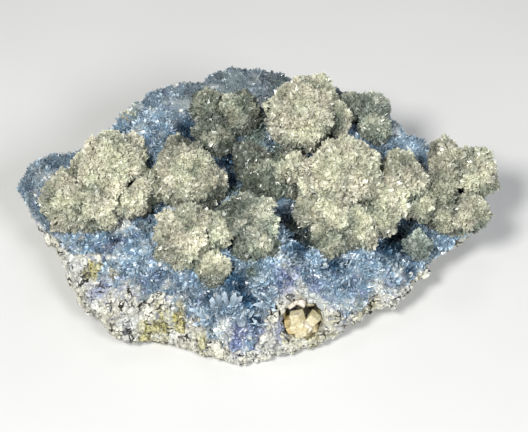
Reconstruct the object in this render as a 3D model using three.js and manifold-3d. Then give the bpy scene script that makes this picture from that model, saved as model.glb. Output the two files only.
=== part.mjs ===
// A vauxite specimen, in millimetres, +Z up, lying on its sawn base.
// A slab of pale nodular phosphate rock carries a crust of blue vauxite crystals. Round balls of
// tiny glassy blades, cream to greenish grey, have grown on the crust. A pit in the front face of
// the rock holds a group of blocky buff crystals.
// X runs along the slab from left to right, and -Y is its front, where the rock is bare.

import * as THREE from 'three';
import { mergeVertices } from 'three/addons/utils/BufferGeometryUtils.js';
import Module from 'manifold-3d';

const wasm = await Module();
wasm.setup();

// The slab in plan: its widest outline, counterclockwise from the right tip, around a centre.
const SLAB_CENTRE = { x: -3, y: 2 };
const RIM_OUTLINE = [
  [41, 8], [36, 13], [31, 15], [27, 18], [21, 23.5], [14, 27], [5, 28.5], [-4.5, 30], [-12, 28],
  [-21, 25], [-26, 21.5], [-30, 16.8], [-35, 14], [-40, 14], [-44, 12.5], [-46, 9],
  [-43.5, 4], [-37, -3.5], [-36.6, -8], [-34, -12], [-30, -16.5], [-26.5, -20.2], [-20, -20.2],
  [-15, -20.5], [-9.5, -22.5], [-4.5, -24.2], [1.5, -22.4], [7, -21], [13, -19], [17, -17],
  [20, -14], [25, -13], [28, -9.5], [31, -5], [36, -1.5], [40.5, 2],
];

// The top of the slab: a plane that rises to the back, with a fall towards both ends.
const GROUND_HEIGHT = 14;
const BACK_RISE = 0.27;
const END_FALL = 0.0012;
// Mounds and hollows of the top: x, y, radius and rise.
const MOUNDS = [
  [-20, 20, 9, 2.0],
  [-4.5, 27, 8, 1.8],
  [-5, -17, 6, 2.2],
  [16, -12, 6, 2.0],
  [-29, -8, 7, 0.8],
  [-41, 11, 7, 1.2],
  [-6.5, 9, 5.5, -3.2],
  [-14.5, 18.5, 4, -2.4],
  [-6, -12, 3, -2.4],
  [-2.2, -17.5, 2.4, -2.2],
  [7.5, -2.5, 4, -4.4],
  [13.2, -9, 2.6, -2.2],
  [24.5, -1.6, 4.6, -3.8],
  [-21.5, 2, 3.5, -1.6],
];
// The surface drops towards the rim from this part of the way out, most of all at the front.
const SHOULDER_START = 0.52;
const SHOULDER_POWER = 1.7;
const BACK_DROP = 1.2;
const FRONT_DROP = 9.6;
// The base is drawn in under the rim: the right tip overhangs most, the front not at all.
const RIGHT_UNDERCUT = 0.25;
const LEFT_UNDERCUT = 0.16;
const BACK_UNDERCUT = 0.15;
const SIDE_BULGE = 0.03;
// From this reach on, the surface faces straight out.
const SIDE_START = 1.3;

// The blue crust ends this far out in each direction: 1 is the rim and 2 the base edge.
const CRUST_EDGE = [
  [0, 1.3], [40, 1.35], [90, 1.4], [135, 1.3], [175, 1.3], [190, 1.12], [200, 0.97],
  [212, 0.84], [225, 0.78], [245, 0.86], [262, 0.98], [290, 0.99], [318, 0.95], [332, 0.88],
  [345, 0.92], [354, 1.05],
];
const CRUST_THICKNESS = 2.2;
const CRUST_EDGE_THICKNESS = 0.9;
const CRUST_EDGE_RAGGEDNESS = 0.035;
// The waves of the ragged edge: how many go round the slab, and where each starts.
const CRUST_EDGE_WAVES = [[7, 1], [13, 4], [23, 0]];
const CRUST_CELLS = { x: 19, y: 11 };
const CRYSTAL_HEIGHT = { low: 0.7, high: 1.7 };
// The longest blades stand at the middle of the front.
const LONG_BLADES = { x: -5, y: -18, radius: 6.5, low: 1.6, high: 2.3 };
// No crystal of the crust is made this close to a ball.
const BALL_MARGIN = 3.2;

// Solids that touch keep this gap.
const GAP = 0.35;
const ROOM_ABOVE_CRUST = 2.8;
const ROOM_PAST_CRUST = 0.03;

// The bare sides of the rock, as reaches like those of the crust's edge.
const ROCK_RINGS = 4;
const ROCK_ROUGHNESS = 0.75;
const ROCK_STEP = 0.05;
const LOWEST_RING = 1.9;
const LOW_SIDE = 1.6;
const BASE_REACH = 2;
// The rock keeps clear of the crust by this much, from the middle of the slab to the edge.
const CRUST_CLEARANCE = { low: 0.55, high: 1.15 };
const BELOW_BASE = 1;
const BASE_CUT = { length: 120, width: 90, depth: 20 };

// Nodules stand on the bare rock in these arcs of directions, in degrees, most at the front left.
const NODULE_ARCS = [
  { low: 204, high: 255, count: 13 },
  { low: 255, high: 315, count: 2 },
  { low: 322, high: 350, count: 2 },
];
const NODULE_RADIUS = { low: 1.7, high: 3.0 };
const NODULE_SQUASH = { low: 0.75, high: 1.1 };
const NODULE_DEPTH = 0.35;
// They stand from a little below the crust's edge down to this reach, at heights that this share
// of the way spreads evenly.
const NODULE_START = 0.06;
const LOWEST_NODULE = 1.25;
const NODULE_SPREAD = 0.618;

// A roof-shaped crystal's ridge inside its cell, as shares of the cell and of its height.
const RIDGE = {
  side: { low: 0.3, high: 0.7 },
  start: { low: 0.2, high: 0.35 },
  end: { low: 0.65, high: 0.8 },
  height: { low: 0.6, high: 1 },
};
const CELL_INDICES = 6;
const CLOSE = 1e-3;

// The lobes of the balls, with sizes as shares of a lobe's radius. Large ones have more cells.
const LARGE_LOBE = 5.2;
const LOBE_JITTER = 0.5;
const BALL_ROUGHNESS = 0.06;
const BALL_CRYSTAL = { low: 0.09, high: 0.21 };
// A flat cell lies this far inside its round lobe, with one cell a side.
const CELL_HOLLOW = 0.75;
// A lobe has no crystals this close to the next lobe or to the crust.
const SEAM_MARGIN = 0.6;
const FOOT_MARGIN = 1.2;
// Nor has it any lower than this, where it faces down.
const DOWNWARD = -0.2;

// The pit in the front face, tilted forward as the face is, and the blocks that fill it.
const PIT = { x: 6.9, y: -18.3, z: 6.2, radius: 3.8, tilt: THREE.MathUtils.degToRad(50) };
const BUFF_BLOCKS = { count: 5, side: { low: 2.2, high: 3.4 }, spread: 1.6 };

// Each ball is a cluster of round lobes: x, y, z and radius.
const BALLS = {
  left_ball_cluster: [
    [-28.6, 6.0, 18.8, 6.9], [-27.4, 10.5, 18.8, 4.8], [-25.0, 2.4, 16.8, 4.2],
    [-36.4, 2.4, 15.4, 5.6], [-31.0, -0.6, 15.8, 4.7],
  ],
  left_middle_ball: [
    [-14.3, 6.0, 18.6, 5.9], [-15.6, 9.6, 18.4, 4.0], [-11.2, 4.4, 17.4, 4.2],
  ],
  lower_left_ball: [
    [-14.4, -7.8, 17.4, 5.6], [-10.0, -6.7, 17.0, 3.9], [-9.4, -12.6, 13.9, 3.0],
  ],
  centre_ball: [
    [-2.8, -3.2, 17.4, 4.6], [-1.2, -7.6, 15.6, 3.8],
  ],
  back_left_cluster: [
    [-5.0, 18.8, 21.2, 3.9], [-9.3, 15.8, 18.6, 3.6], [-10.8, 21.0, 20.6, 3.2],
  ],
  top_ball: [
    [7.0, 16.0, 23.8, 6.6], [9.6, 20.4, 24.2, 4.2], [12.8, 17.0, 22.0, 3.9],
    [15.8, 20.8, 21.2, 2.7],
  ],
  back_right_ball: [
    [20.4, 21.2, 20.6, 3.1], [21.4, 17.4, 19.4, 3.2],
  ],
  centre_back_cluster: [
    [-2.6, 11.0, 16.2, 3.3], [0.2, 5.6, 16.8, 4.3], [4.9, 6.6, 17.8, 4.1],
  ],
  right_ball_cluster: [
    [15.2, 4.0, 20.8, 7.0], [10.4, 3.6, 18.6, 3.9], [14.4, -2.8, 17.4, 4.3],
    [17.6, -5.6, 16.0, 3.4], [25.4, 5.4, 18.3, 4.6], [22.4, 0.6, 17.8, 4.8],
    [12.4, -7.6, 14.6, 2.3],
  ],
  right_end_cluster: [
    [39.8, 7.4, 17.0, 4.4], [35.0, 8.8, 17.4, 4.0], [33.9, 12.6, 17.3, 2.4],
    [33.0, 4.2, 15.6, 3.6], [38.2, -0.4, 14.4, 3.9], [34.1, -0.6, 13.6, 3.1],
  ],
  small_front_ball: [
    [28.6, -5.6, 11.8, 2.4],
  ],
};

const LOOKS = {
  rock: { color: 0xe6e0cf, roughness: 0.9, metalness: 0 },
  crust: { color: 0x7f9bc4, roughness: 0.45, metalness: 0 },
  buff: { color: 0xe0c08a, roughness: 0.5, metalness: 0 },
  brightBall: { color: 0xd6d3bd, roughness: 0.4, metalness: 0 },
  shadedBall: { color: 0xa9ad9e, roughness: 0.4, metalness: 0 },
};
const SHADED_BALLS = ['back_left_cluster', 'back_right_ball', 'centre_back_cluster'];

// The starts of the random series.
const SEEDS = { crust: 11, rock: 5, nodules: 23, balls: 100, buff: 77 };

// Repeatable random numbers from 0 to 1.
function randomSeries(seed) {
  let state = seed;
  return () => {
    state = (Math.imul(state, 1664525) + 1013904223) >>> 0;
    return state / 2 ** 32;
  };
}

function between(range, share) {
  return THREE.MathUtils.lerp(range.low, range.high, share);
}

// The value at an angle in degrees from a list of [angle, value] pairs that goes once round.
function valueAround(pairs, degrees) {
  const last = pairs[pairs.length - 1];
  const round = [[last[0] - 360, last[1]], ...pairs, [pairs[0][0] + 360, pairs[0][1]]];
  const angle = THREE.MathUtils.euclideanModulo(degrees, 360);
  const next = round.findIndex(([start]) => start > angle);
  const [from, low] = round[next - 1];
  const [to, high] = round[next];
  return THREE.MathUtils.lerp(low, high, (angle - from) / (to - from));
}

// The slab's form

function degreesAround(x, y) {
  const degrees = THREE.MathUtils.radToDeg(Math.atan2(y - SLAB_CENTRE.y, x - SLAB_CENTRE.x));
  return THREE.MathUtils.euclideanModulo(degrees, 360);
}

function distanceOut(x, y) {
  return Math.hypot(x - SLAB_CENTRE.x, y - SLAB_CENTRE.y);
}

const RIM_RADII = RIM_OUTLINE
  .map(([x, y]) => [degreesAround(x, y), distanceOut(x, y)])
  .sort((one, other) => one[0] - other[0]);

function groundHeight(x, y) {
  let height = GROUND_HEIGHT + BACK_RISE * Math.max(0, y) - END_FALL * x * x;
  for (const [moundX, moundY, radius, rise] of MOUNDS) {
    height += rise * Math.exp(-((x - moundX) ** 2 + (y - moundY) ** 2) / radius ** 2);
  }
  return height;
}

// How far the surface has dropped on its way out to the rim.
function shoulderDrop(angle, reach) {
  const way = Math.max(0, reach - SHOULDER_START) / (1 - SHOULDER_START);
  const frontness = Math.max(0, -Math.sin(angle));
  return (BACK_DROP + FRONT_DROP * frontness) * way ** SHOULDER_POWER;
}

// How much narrower the base is than the rim in a direction, as a share.
function undercut(angle) {
  const right = RIGHT_UNDERCUT * Math.max(0, Math.cos(angle)) ** 2;
  const left = LEFT_UNDERCUT * Math.max(0, -Math.cos(angle)) ** 2;
  const back = BACK_UNDERCUT * Math.max(0, Math.sin(angle)) ** 2;
  return right + left + back;
}

// A point of the slab's surface, in a direction from its centre. The reach goes from 0 at the
// middle of the top over 1 at the rim to 2 at the base, and depth is measured into the slab.
function slabPoint(angle, reach, depth) {
  const radius = valueAround(RIM_RADII, THREE.MathUtils.radToDeg(angle));
  const out = new THREE.Vector3(Math.cos(angle), Math.sin(angle), 0);
  const down = Math.max(0, reach - 1);
  const bulge = SIDE_BULGE * Math.sin(Math.PI * down);
  const wide = Math.min(1, reach) * (1 - undercut(angle) * down * down + bulge);
  const point = out.clone().multiplyScalar(radius * wide);
  point.x += SLAB_CENTRE.x;
  point.y += SLAB_CENTRE.y;
  const top = groundHeight(point.x, point.y) - shoulderDrop(angle, Math.min(1, reach));
  point.z = top * (1 - down);
  const tilt = THREE.MathUtils.smoothstep(reach, SHOULDER_START, SIDE_START) * Math.PI / 2;
  const normal = out.multiplyScalar(Math.sin(tilt));
  normal.z = Math.cos(tilt);
  return point.addScaledVector(normal, -depth);
}

// A point of a flat sheet just below the base, which the cut at the base takes off.
function sheetBelowBase(angle, radius, growth) {
  const foot = slabPoint(angle, BASE_REACH, -growth);
  return new THREE.Vector3(
    THREE.MathUtils.lerp(SLAB_CENTRE.x, foot.x, radius),
    THREE.MathUtils.lerp(SLAB_CENTRE.y, foot.y, radius),
    -BELOW_BASE,
  );
}

// The height of the slab's top over a point in plan, or -Infinity beside the slab.
function slabTop(x, y) {
  const degrees = degreesAround(x, y);
  const reach = distanceOut(x, y) / valueAround(RIM_RADII, degrees);
  if (reach > 1) return -Infinity;
  return groundHeight(x, y) - shoulderDrop(THREE.MathUtils.degToRad(degrees), reach);
}

// A square's grid point becomes a point of the unit disc, as an angle and a radius.
function discPoint(u, v) {
  const x = u * Math.sqrt(1 - v * v / 2);
  const y = v * Math.sqrt(1 - u * u / 2);
  return { angle: Math.atan2(y, x), radius: Math.min(1, Math.hypot(x, y)) };
}

// How far out the crust's ragged lower edge lies in a direction.
function crustEdge(angle) {
  const degrees = THREE.MathUtils.radToDeg(angle);
  let waves = 0;
  for (const [count, start] of CRUST_EDGE_WAVES) waves += Math.sin(count * angle + start);
  return valueAround(CRUST_EDGE, degrees) + CRUST_EDGE_RAGGEDNESS * waves;
}

// The crust thins out towards its edge.
function crustThickness(radius) {
  return THREE.MathUtils.lerp(CRUST_THICKNESS, CRUST_EDGE_THICKNESS, radius ** 5);
}

// Meshes from grids

// A box's grid with its shared corners merged, so that each face is a sheet of square cells.
function boxGrid(cellsX, cellsY, cellsZ) {
  const box = new THREE.BoxGeometry(2, 2, 2, cellsX, cellsY, cellsZ);
  box.deleteAttribute('normal');
  box.deleteAttribute('uv');
  return mergeVertices(box);
}

// The grid's points after place() has moved each of them.
function placedPoints(grid, place) {
  const corners = grid.attributes.position;
  const points = [];
  for (let i = 0; i < corners.count; i += 1) {
    points.push(place(corners.getX(i), corners.getY(i), corners.getZ(i)));
  }
  return points;
}

// One crystal on a cell: a low roof with flat faces, whose ridge lies askew inside the cell.
function roofOnCell(points, cell, height, random) {
  const turned = random() < 0.5 ? cell : [cell[1], cell[2], cell[3], cell[0]];
  const [a, b, c, d] = turned.map((index) => points[index]);
  const normal = c.clone().sub(a).cross(d.clone().sub(b)).normalize();
  const start = a.clone().lerp(d, between(RIDGE.side, random()));
  const end = b.clone().lerp(c, between(RIDGE.side, random()));
  const ridgeStart = start.clone().lerp(end, between(RIDGE.start, random()));
  const ridgeEnd = start.clone().lerp(end, between(RIDGE.end, random()));
  ridgeStart.addScaledVector(normal, height * between(RIDGE.height, random()));
  ridgeEnd.addScaledVector(normal, height * between(RIDGE.height, random()));
  points.push(ridgeStart, ridgeEnd);
  const [ia, ib, ic, id] = turned;
  const low = points.length - 2;
  const high = points.length - 1;
  return [ia, ib, high, ia, high, low, ib, ic, high, ic, id, low, ic, low, high, id, ia, low];
}

// A plain cell as two triangles. Sheets that lie over each other are all split along the diagonal
// that rises from left to right, so that they stay parallel.
function splitCell(grid, [a, b, c, d]) {
  const corners = grid.attributes.position;
  const run = corners.getX(d) - corners.getX(b);
  const rise = corners.getY(d) - corners.getY(b);
  return run * rise >= 0 ? [a, b, d, b, c, d] : [a, b, c, a, c, d];
}

function middleOf(points) {
  const middle = new THREE.Vector3();
  for (const point of points) middle.addScaledVector(point, 1 / points.length);
  return middle;
}

// A closed solid from a placed grid. crystalHeight() is given a cell's middle, its middle on the
// box and the direction that the box faces there. A crystal stands where it is above 0.
function crystalSolid(grid, points, crystalHeight, random) {
  const corners = grid.attributes.position;
  const indices = [];
  for (let i = 0; i < grid.index.count; i += CELL_INDICES) {
    const cell = [0, 1, 4, 2].map((step) => grid.index.getX(i + step));
    const middle = middleOf(cell.map((index) => points[index]));
    const boxMiddle = middleOf(
      cell.map((index) => new THREE.Vector3().fromBufferAttribute(corners, index)),
    );
    const height = crystalHeight(middle, boxMiddle);
    if (height > 0) {
      indices.push(...roofOnCell(points, cell, height, random));
    } else {
      indices.push(...splitCell(grid, cell));
    }
  }
  return solidFrom(points, indices);
}

// A closed solid from a grid, without crystals.
function plainSolid(grid, place) {
  return crystalSolid(grid, placedPoints(grid, place), () => 0, null);
}

function solidFrom(points, indices) {
  const vertProperties = new Float32Array(points.flatMap((point) => point.toArray()));
  return new wasm.Manifold(
    new wasm.Mesh({ numProp: 3, vertProperties, triVerts: new Uint32Array(indices) }),
  );
}

// A solid from a closed three.js geometry that has been moved into place.
function solidOfGeometry(geometry) {
  const bare = geometry.clone();
  bare.deleteAttribute('normal');
  bare.deleteAttribute('uv');
  const merged = mergeVertices(bare);
  const points = placedPoints(merged, (x, y, z) => new THREE.Vector3(x, y, z));
  return solidFrom(points, Array.from(merged.index.array));
}

function joinedSolid(solids) {
  return solids.reduce((joined, solid) => joined.add(solid));
}

// For each corner of a mesh, a number that all the corners of its body share.
function bodyNumbers(mesh) {
  const numbers = Array.from({ length: mesh.vertProperties.length / 3 }, (_, index) => index);
  const bodyOf = (index) => {
    let top = index;
    while (numbers[top] !== top) top = numbers[top];
    numbers[index] = top;
    return top;
  };
  for (let i = 0; i < mesh.triVerts.length; i += 3) {
    for (const step of [1, 2]) {
      numbers[bodyOf(mesh.triVerts[i + step])] = bodyOf(mesh.triVerts[i]);
    }
  }
  return numbers.map((_, index) => bodyOf(index));
}

// The geometry of a solid, without the small crumbs that a cut can leave beside its main body.
function mainBodyGeometry(solid) {
  const mesh = solid.getMesh();
  const numbers = bodyNumbers(mesh);
  const sizes = new Map();
  for (const corner of mesh.triVerts) {
    sizes.set(numbers[corner], (sizes.get(numbers[corner]) ?? 0) + 1);
  }
  const [main] = [...sizes.entries()].sort((one, other) => other[1] - one[1])[0];
  const geometry = new THREE.BufferGeometry();
  geometry.setAttribute('position', new THREE.BufferAttribute(mesh.vertProperties, 3));
  geometry.setIndex(Array.from(mesh.triVerts).filter((corner) => numbers[corner] === main));
  const flat = geometry.toNonIndexed();
  flat.computeVertexNormals();
  return flat;
}

// The crust

const ALL_LOBES = Object.values(BALLS).flat();

function insideLobe([x, y, z, radius], point, margin) {
  return point.distanceTo(new THREE.Vector3(x, y, z)) < radius + margin;
}

// The crust stays plain under the balls, and its longest blades stand at the front.
function crustCrystalHeight(middle, random) {
  const share = random();
  if (ALL_LOBES.some((lobe) => insideLobe(lobe, middle, BALL_MARGIN))) return 0;
  const fromLong = Math.hypot(middle.x - LONG_BLADES.x, middle.y - LONG_BLADES.y);
  return between(fromLong < LONG_BLADES.radius ? LONG_BLADES : CRYSTAL_HEIGHT, share);
}

function crust() {
  const random = randomSeries(SEEDS.crust);
  const grid = boxGrid(CRUST_CELLS.x, CRUST_CELLS.y, 1);
  const points = placedPoints(grid, (u, v, w) => {
    const { angle, radius } = discPoint(u, v);
    return slabPoint(angle, radius * crustEdge(angle), w > 0 ? 0 : crustThickness(radius));
  });
  const height = (middle, boxMiddle) => {
    const isOnTop = boxMiddle.z > 1 - CLOSE;
    return isOnTop ? crustCrystalHeight(middle, random) : 0;
  };
  return crystalSolid(grid, points, height, random).subtract(pitSolid(0));
}

// The crust and its thickness, grown by the gap, which no nodule of the rock may reach into.
function roomForCrust() {
  return plainSolid(boxGrid(CRUST_CELLS.x, CRUST_CELLS.y, 1), (u, v, w) => {
    const { angle, radius } = discPoint(u, v);
    const depth = w > 0 ? -ROOM_ABOVE_CRUST : crustThickness(radius) + GAP;
    return slabPoint(angle, radius * (crustEdge(angle) + ROOM_PAST_CRUST), depth);
  });
}

// The whole slab with its crust but no crystals, grown by the gap: it cuts the balls' feet.
function grownSlab() {
  return plainSolid(boxGrid(CRUST_CELLS.x, CRUST_CELLS.y, 2), (u, v, w) => {
    const { angle, radius } = discPoint(u, v);
    if (w > CLOSE) return slabPoint(angle, radius * crustEdge(angle), -GAP);
    if (w > -CLOSE) return slabPoint(angle, LOW_SIDE, -GAP);
    return sheetBelowBase(angle, radius, GAP);
  });
}

// The rock

// The rock under the crust, with its bare rough sides in rings from the crust's edge down.
function rockBody() {
  const random = randomSeries(SEEDS.rock);
  const rough = () => ROCK_ROUGHNESS * (random() - 0.5) * 2;
  return plainSolid(boxGrid(CRUST_CELLS.x, CRUST_CELLS.y, ROCK_RINGS + 1), (u, v, w) => {
    const { angle, radius } = discPoint(u, v);
    const edge = crustEdge(angle);
    const ring = Math.round((1 - w) / 2 * (ROCK_RINGS + 1));
    if (ring === 0) {
      const clearance = between(CRUST_CLEARANCE, radius ** 3);
      return slabPoint(angle, radius * edge, crustThickness(radius) + clearance);
    }
    if (ring > ROCK_RINGS) return sheetBelowBase(angle, radius, 0);
    const down = (ring - 1) / (ROCK_RINGS - 1);
    const reach = THREE.MathUtils.lerp(edge + ROCK_STEP, LOWEST_RING, down);
    return slabPoint(angle, reach, ring === 1 ? CRUST_EDGE_THICKNESS + 2 * GAP : rough());
  });
}

// A round nodule that stands out of the bare rock, the one with this number in its arc.
function rockNodule(arc, number, random) {
  const angle = THREE.MathUtils.degToRad(between(arc, (number + random()) / arc.count));
  const radius = between(NODULE_RADIUS, random());
  const down = (number * NODULE_SPREAD) % 1;
  const reach = THREE.MathUtils.lerp(crustEdge(angle) + NODULE_START, LOWEST_NODULE, down);
  const place = slabPoint(angle, reach, radius * NODULE_DEPTH);
  const nodule = new THREE.IcosahedronGeometry(radius, 0);
  nodule.scale(1, between(NODULE_SQUASH, random()), between(NODULE_SQUASH, random()));
  nodule.rotateZ(random() * Math.PI);
  nodule.translate(place.x, place.y, Math.max(place.z, radius / 2));
  return solidOfGeometry(nodule);
}

function rockNodules() {
  const random = randomSeries(SEEDS.nodules);
  const nodules = [];
  for (const arc of NODULE_ARCS) {
    for (let i = 0; i < arc.count; i += 1) nodules.push(rockNodule(arc, i, random));
  }
  return joinedSolid(nodules);
}

// Everything below the flat base.
function belowBase() {
  const box = new THREE.BoxGeometry(BASE_CUT.length, BASE_CUT.width, BASE_CUT.depth);
  box.translate(0, 0, -BASE_CUT.depth / 2);
  return solidOfGeometry(box);
}

// The round room of the pit in the front face, smaller all round by shrink.
function pitSolid(shrink) {
  const pit = new THREE.IcosahedronGeometry(PIT.radius - shrink, 1);
  pit.translate(PIT.x, PIT.y, PIT.z);
  return solidOfGeometry(pit);
}

function rock() {
  const nodules = rockNodules().subtract(roomForCrust());
  return rockBody().add(nodules).subtract(belowBase()).subtract(pitSolid(0));
}

// The balls

// One lobe of a ball: a sphere whose every cell carries a crystal where it can be seen.
function lobeSolid(lobe, seed, growth, neighbours) {
  const [x, y, z, radius] = lobe;
  const random = randomSeries(seed);
  const cells = radius > LARGE_LOBE ? 3 : 2;
  const grid = boxGrid(cells, cells, cells);
  const centre = new THREE.Vector3(x, y, z);
  const jitter = () => (random() - 0.5) * LOBE_JITTER / cells;
  const points = placedPoints(grid, (u, v, w) => {
    const even = [u, v, w].map((value) => Math.tan(value * Math.PI / 4));
    const direction = new THREE.Vector3(...even).normalize();
    direction.add(new THREE.Vector3(jitter(), jitter(), jitter())).normalize();
    const rough = 1 + BALL_ROUGHNESS * (random() - 0.5) * 2;
    return direction.multiplyScalar(radius * rough + growth).add(centre);
  });
  const crystalHeight = (_, boxMiddle) => {
    const share = between(BALL_CRYSTAL, random());
    const middle = boxMiddle.normalize().multiplyScalar(radius).add(centre);
    const meets = (other) => other !== lobe && insideLobe(other, middle, SEAM_MARGIN);
    const isLow = middle.z < slabTop(middle.x, middle.y) + FOOT_MARGIN;
    const facesDown = middle.z < z + DOWNWARD * radius;
    if (isLow || facesDown || neighbours.some(meets)) return 0;
    return radius * (CELL_HOLLOW / cells ** 2 + share);
  };
  return crystalSolid(grid, points, crystalHeight, random);
}

function clusterSolid({ lobes, seed }, growth) {
  return joinedSolid(lobes.map((lobe, index) => lobeSolid(lobe, seed + index, growth, lobes)));
}

function clustersMeet(one, other) {
  return one.lobes.some(([x, y, z, radius]) => {
    const middle = new THREE.Vector3(x, y, z);
    return other.lobes.some((lobe) => insideLobe(lobe, middle, radius + 2 * BALL_MARGIN));
  });
}

// All balls, each cut where it stands on the crust and where it meets a ball made before it.
function ballSolids() {
  const ground = grownSlab();
  const made = [];
  for (const [name, lobes] of Object.entries(BALLS)) {
    const ball = { name, lobes, seed: SEEDS.balls * (made.length + 1) };
    ball.solid = clusterSolid(ball, 0).subtract(ground);
    for (const earlier of made) {
      if (clustersMeet(ball, earlier)) {
        ball.solid = ball.solid.subtract(clusterSolid(earlier, GAP));
      }
    }
    made.push(ball);
  }
  return made;
}

// The buff crystals: blunt blocks, turned every way and grown together, that fill the pit.
function buffCrystals() {
  const random = randomSeries(SEEDS.buff);
  const blocks = [];
  for (let i = 0; i < BUFF_BLOCKS.count; i += 1) {
    const turn = i * Math.PI * 2 / (BUFF_BLOCKS.count - 1);
    const spread = i === 0 ? 0 : BUFF_BLOCKS.spread;
    const [length, width, height] = [0, 1, 2].map(() => between(BUFF_BLOCKS.side, random()));
    const block = new THREE.BoxGeometry(length, width, height);
    block.rotateX(random() * Math.PI);
    block.rotateZ(random() * Math.PI);
    block.rotateX(PIT.tilt);
    const offset = new THREE.Vector3(Math.cos(turn), Math.sin(turn), 0).multiplyScalar(spread);
    offset.applyAxisAngle(new THREE.Vector3(1, 0, 0), PIT.tilt);
    block.translate(PIT.x + offset.x, PIT.y + offset.y, PIT.z + offset.z);
    blocks.push(solidOfGeometry(block));
  }
  return joinedSolid(blocks).intersect(pitSolid(GAP));
}

function namedMesh(name, solid, look) {
  const mesh = new THREE.Mesh(mainBodyGeometry(solid), new THREE.MeshStandardMaterial(look));
  mesh.name = name;
  return mesh;
}

const specimen = new THREE.Group();
specimen.add(namedMesh('matrix_rock', rock(), LOOKS.rock));
specimen.add(namedMesh('vauxite_crust', crust(), LOOKS.crust));
for (const { name, solid } of ballSolids()) {
  const look = SHADED_BALLS.includes(name) ? LOOKS.shadedBall : LOOKS.brightBall;
  specimen.add(namedMesh(name, solid, look));
}
specimen.add(namedMesh('buff_crystals', buffCrystals(), LOOKS.buff));

export default specimen;
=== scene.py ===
"""A vauxite specimen, dressed: nodular phosphate rock, a crust of blue blades and balls of pale ones.

Every length is in millimetres up to the meshes, the lights and the camera, which are in metres.
"""

import math

import bmesh
import bpy
import numpy as np
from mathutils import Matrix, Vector, noise


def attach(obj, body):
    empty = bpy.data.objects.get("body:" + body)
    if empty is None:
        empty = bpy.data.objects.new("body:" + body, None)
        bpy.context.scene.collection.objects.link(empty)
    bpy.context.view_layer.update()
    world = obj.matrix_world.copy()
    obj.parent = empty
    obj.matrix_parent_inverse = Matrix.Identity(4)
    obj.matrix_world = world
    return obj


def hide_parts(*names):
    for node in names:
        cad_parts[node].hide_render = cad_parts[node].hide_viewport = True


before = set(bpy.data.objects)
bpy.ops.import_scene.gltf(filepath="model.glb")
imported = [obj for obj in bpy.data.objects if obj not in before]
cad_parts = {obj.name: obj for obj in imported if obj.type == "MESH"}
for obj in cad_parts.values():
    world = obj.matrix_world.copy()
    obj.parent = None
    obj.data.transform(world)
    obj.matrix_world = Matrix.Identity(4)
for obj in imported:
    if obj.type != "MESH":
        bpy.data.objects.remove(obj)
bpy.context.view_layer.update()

MM = 0.001
RIGHT = np.array([1.0, 0.0, 0.0])
UP = np.array([0.0, 0.0, 1.0])
SEEN_UP = np.array([0.0, 0.766, 0.643])
SEEN_OUT = np.array([0.0, -0.643, 0.766])

# The slab: its widest outline round a centre, its top with mounds and hollows as x, y, radius and
# rise, its rounded shoulder, and its sides, which draw in towards the base.
SLAB_CENTRE = np.array([-3.0, 2.0])
RIM_OUTLINE = [
    (41, 8), (36, 13), (31, 15), (27, 18), (21, 23.5), (14, 27), (5, 28.5), (-4.5, 30), (-12, 28),
    (-21, 25), (-26, 21.5), (-30, 16.8), (-35, 14), (-40, 14), (-44, 12.5), (-46, 9), (-43.5, 4),
    (-37, -3.5), (-36.6, -8), (-34, -12), (-30, -16.5), (-26.5, -20.2), (-20, -20.2), (-15, -20.5),
    (-9.5, -22.5), (-4.5, -24.2), (1.5, -22.4), (7, -21), (13, -19), (17, -17), (20, -14), (25, -13),
    (28, -9.5), (31, -5), (36, -1.5), (40.5, 2),
]
GROUND_HEIGHT = 14
BACK_RISE = 0.27
END_FALL = 0.0012
MOUNDS = [
    (-20, 20, 9, 2), (-4.5, 27, 8, 1.8), (-5, -17, 6, 2.2), (16, -12, 6, 2), (-29, -8, 7, 0.8),
    (-41, 11, 7, 1.2), (-6.5, 9, 5.5, -3.2), (-14.5, 18.5, 4, -2.4), (-6, -12, 3, -2.4),
    (-2.2, -17.5, 2.4, -2.2), (7.5, -2.5, 4, -4.4), (13.2, -9, 2.6, -2.2), (24.5, -1.6, 4.6, -3.8),
    (-21.5, 2, 3.5, -1.6),
]
SHOULDER_START = 0.52
SHOULDER_POWER = 1.7
BACK_DROP = 1.2
FRONT_DROP = 9.6
RIGHT_UNDERCUT = 0.25
LEFT_UNDERCUT = 0.16
BACK_UNDERCUT = 0.15
SIDE_BULGE = 0.03
SIDE_START = 1.3

# How far out the crust reaches, by direction in degrees: 1 is the rim and 2 the base's edge. Its
# waves and teeth are given by how many go round, where they start and how big they are.
CRUST_EDGE = [
    (0, 1.3), (40, 1.35), (90, 1.4), (135, 1.3), (175, 1.3), (188, 1.1), (198, 0.9), (206, 0.83),
    (216, 0.82), (226, 0.84), (236, 0.88), (246, 0.94), (262, 0.98), (278, 0.98), (286, 0.8), (293, 0.73),
    (299, 0.75), (304, 0.9), (312, 0.99), (332, 1.06), (345, 1.2), (354, 1.25),
]
CRUST_EDGE_RAGGEDNESS = 0.035
CRUST_EDGE_WAVES = [(7, 1, 1), (13, 4, 1), (23, 0, 1)]
CRUST_EDGE_TEETH = [(61, 2, 0.012), (97, 0, 0.012), (151, 0, 0.01)]

# The pit in the front face.
PIT = np.array([6.9, -18.3, 6.2])
PIT_RADIUS = 3.8
PIT_OUT = np.array([0.0, -0.766, 0.643])
# A small hole beside it: its middle, its half sizes across and along the slope, and its depth.
SIDE_HOLE = np.array([2.4, -18.6, 8.6])
SIDE_HOLE_HALF = (0.65, 1.35)
SIDE_HOLE_DEPTH = 1.2

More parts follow.
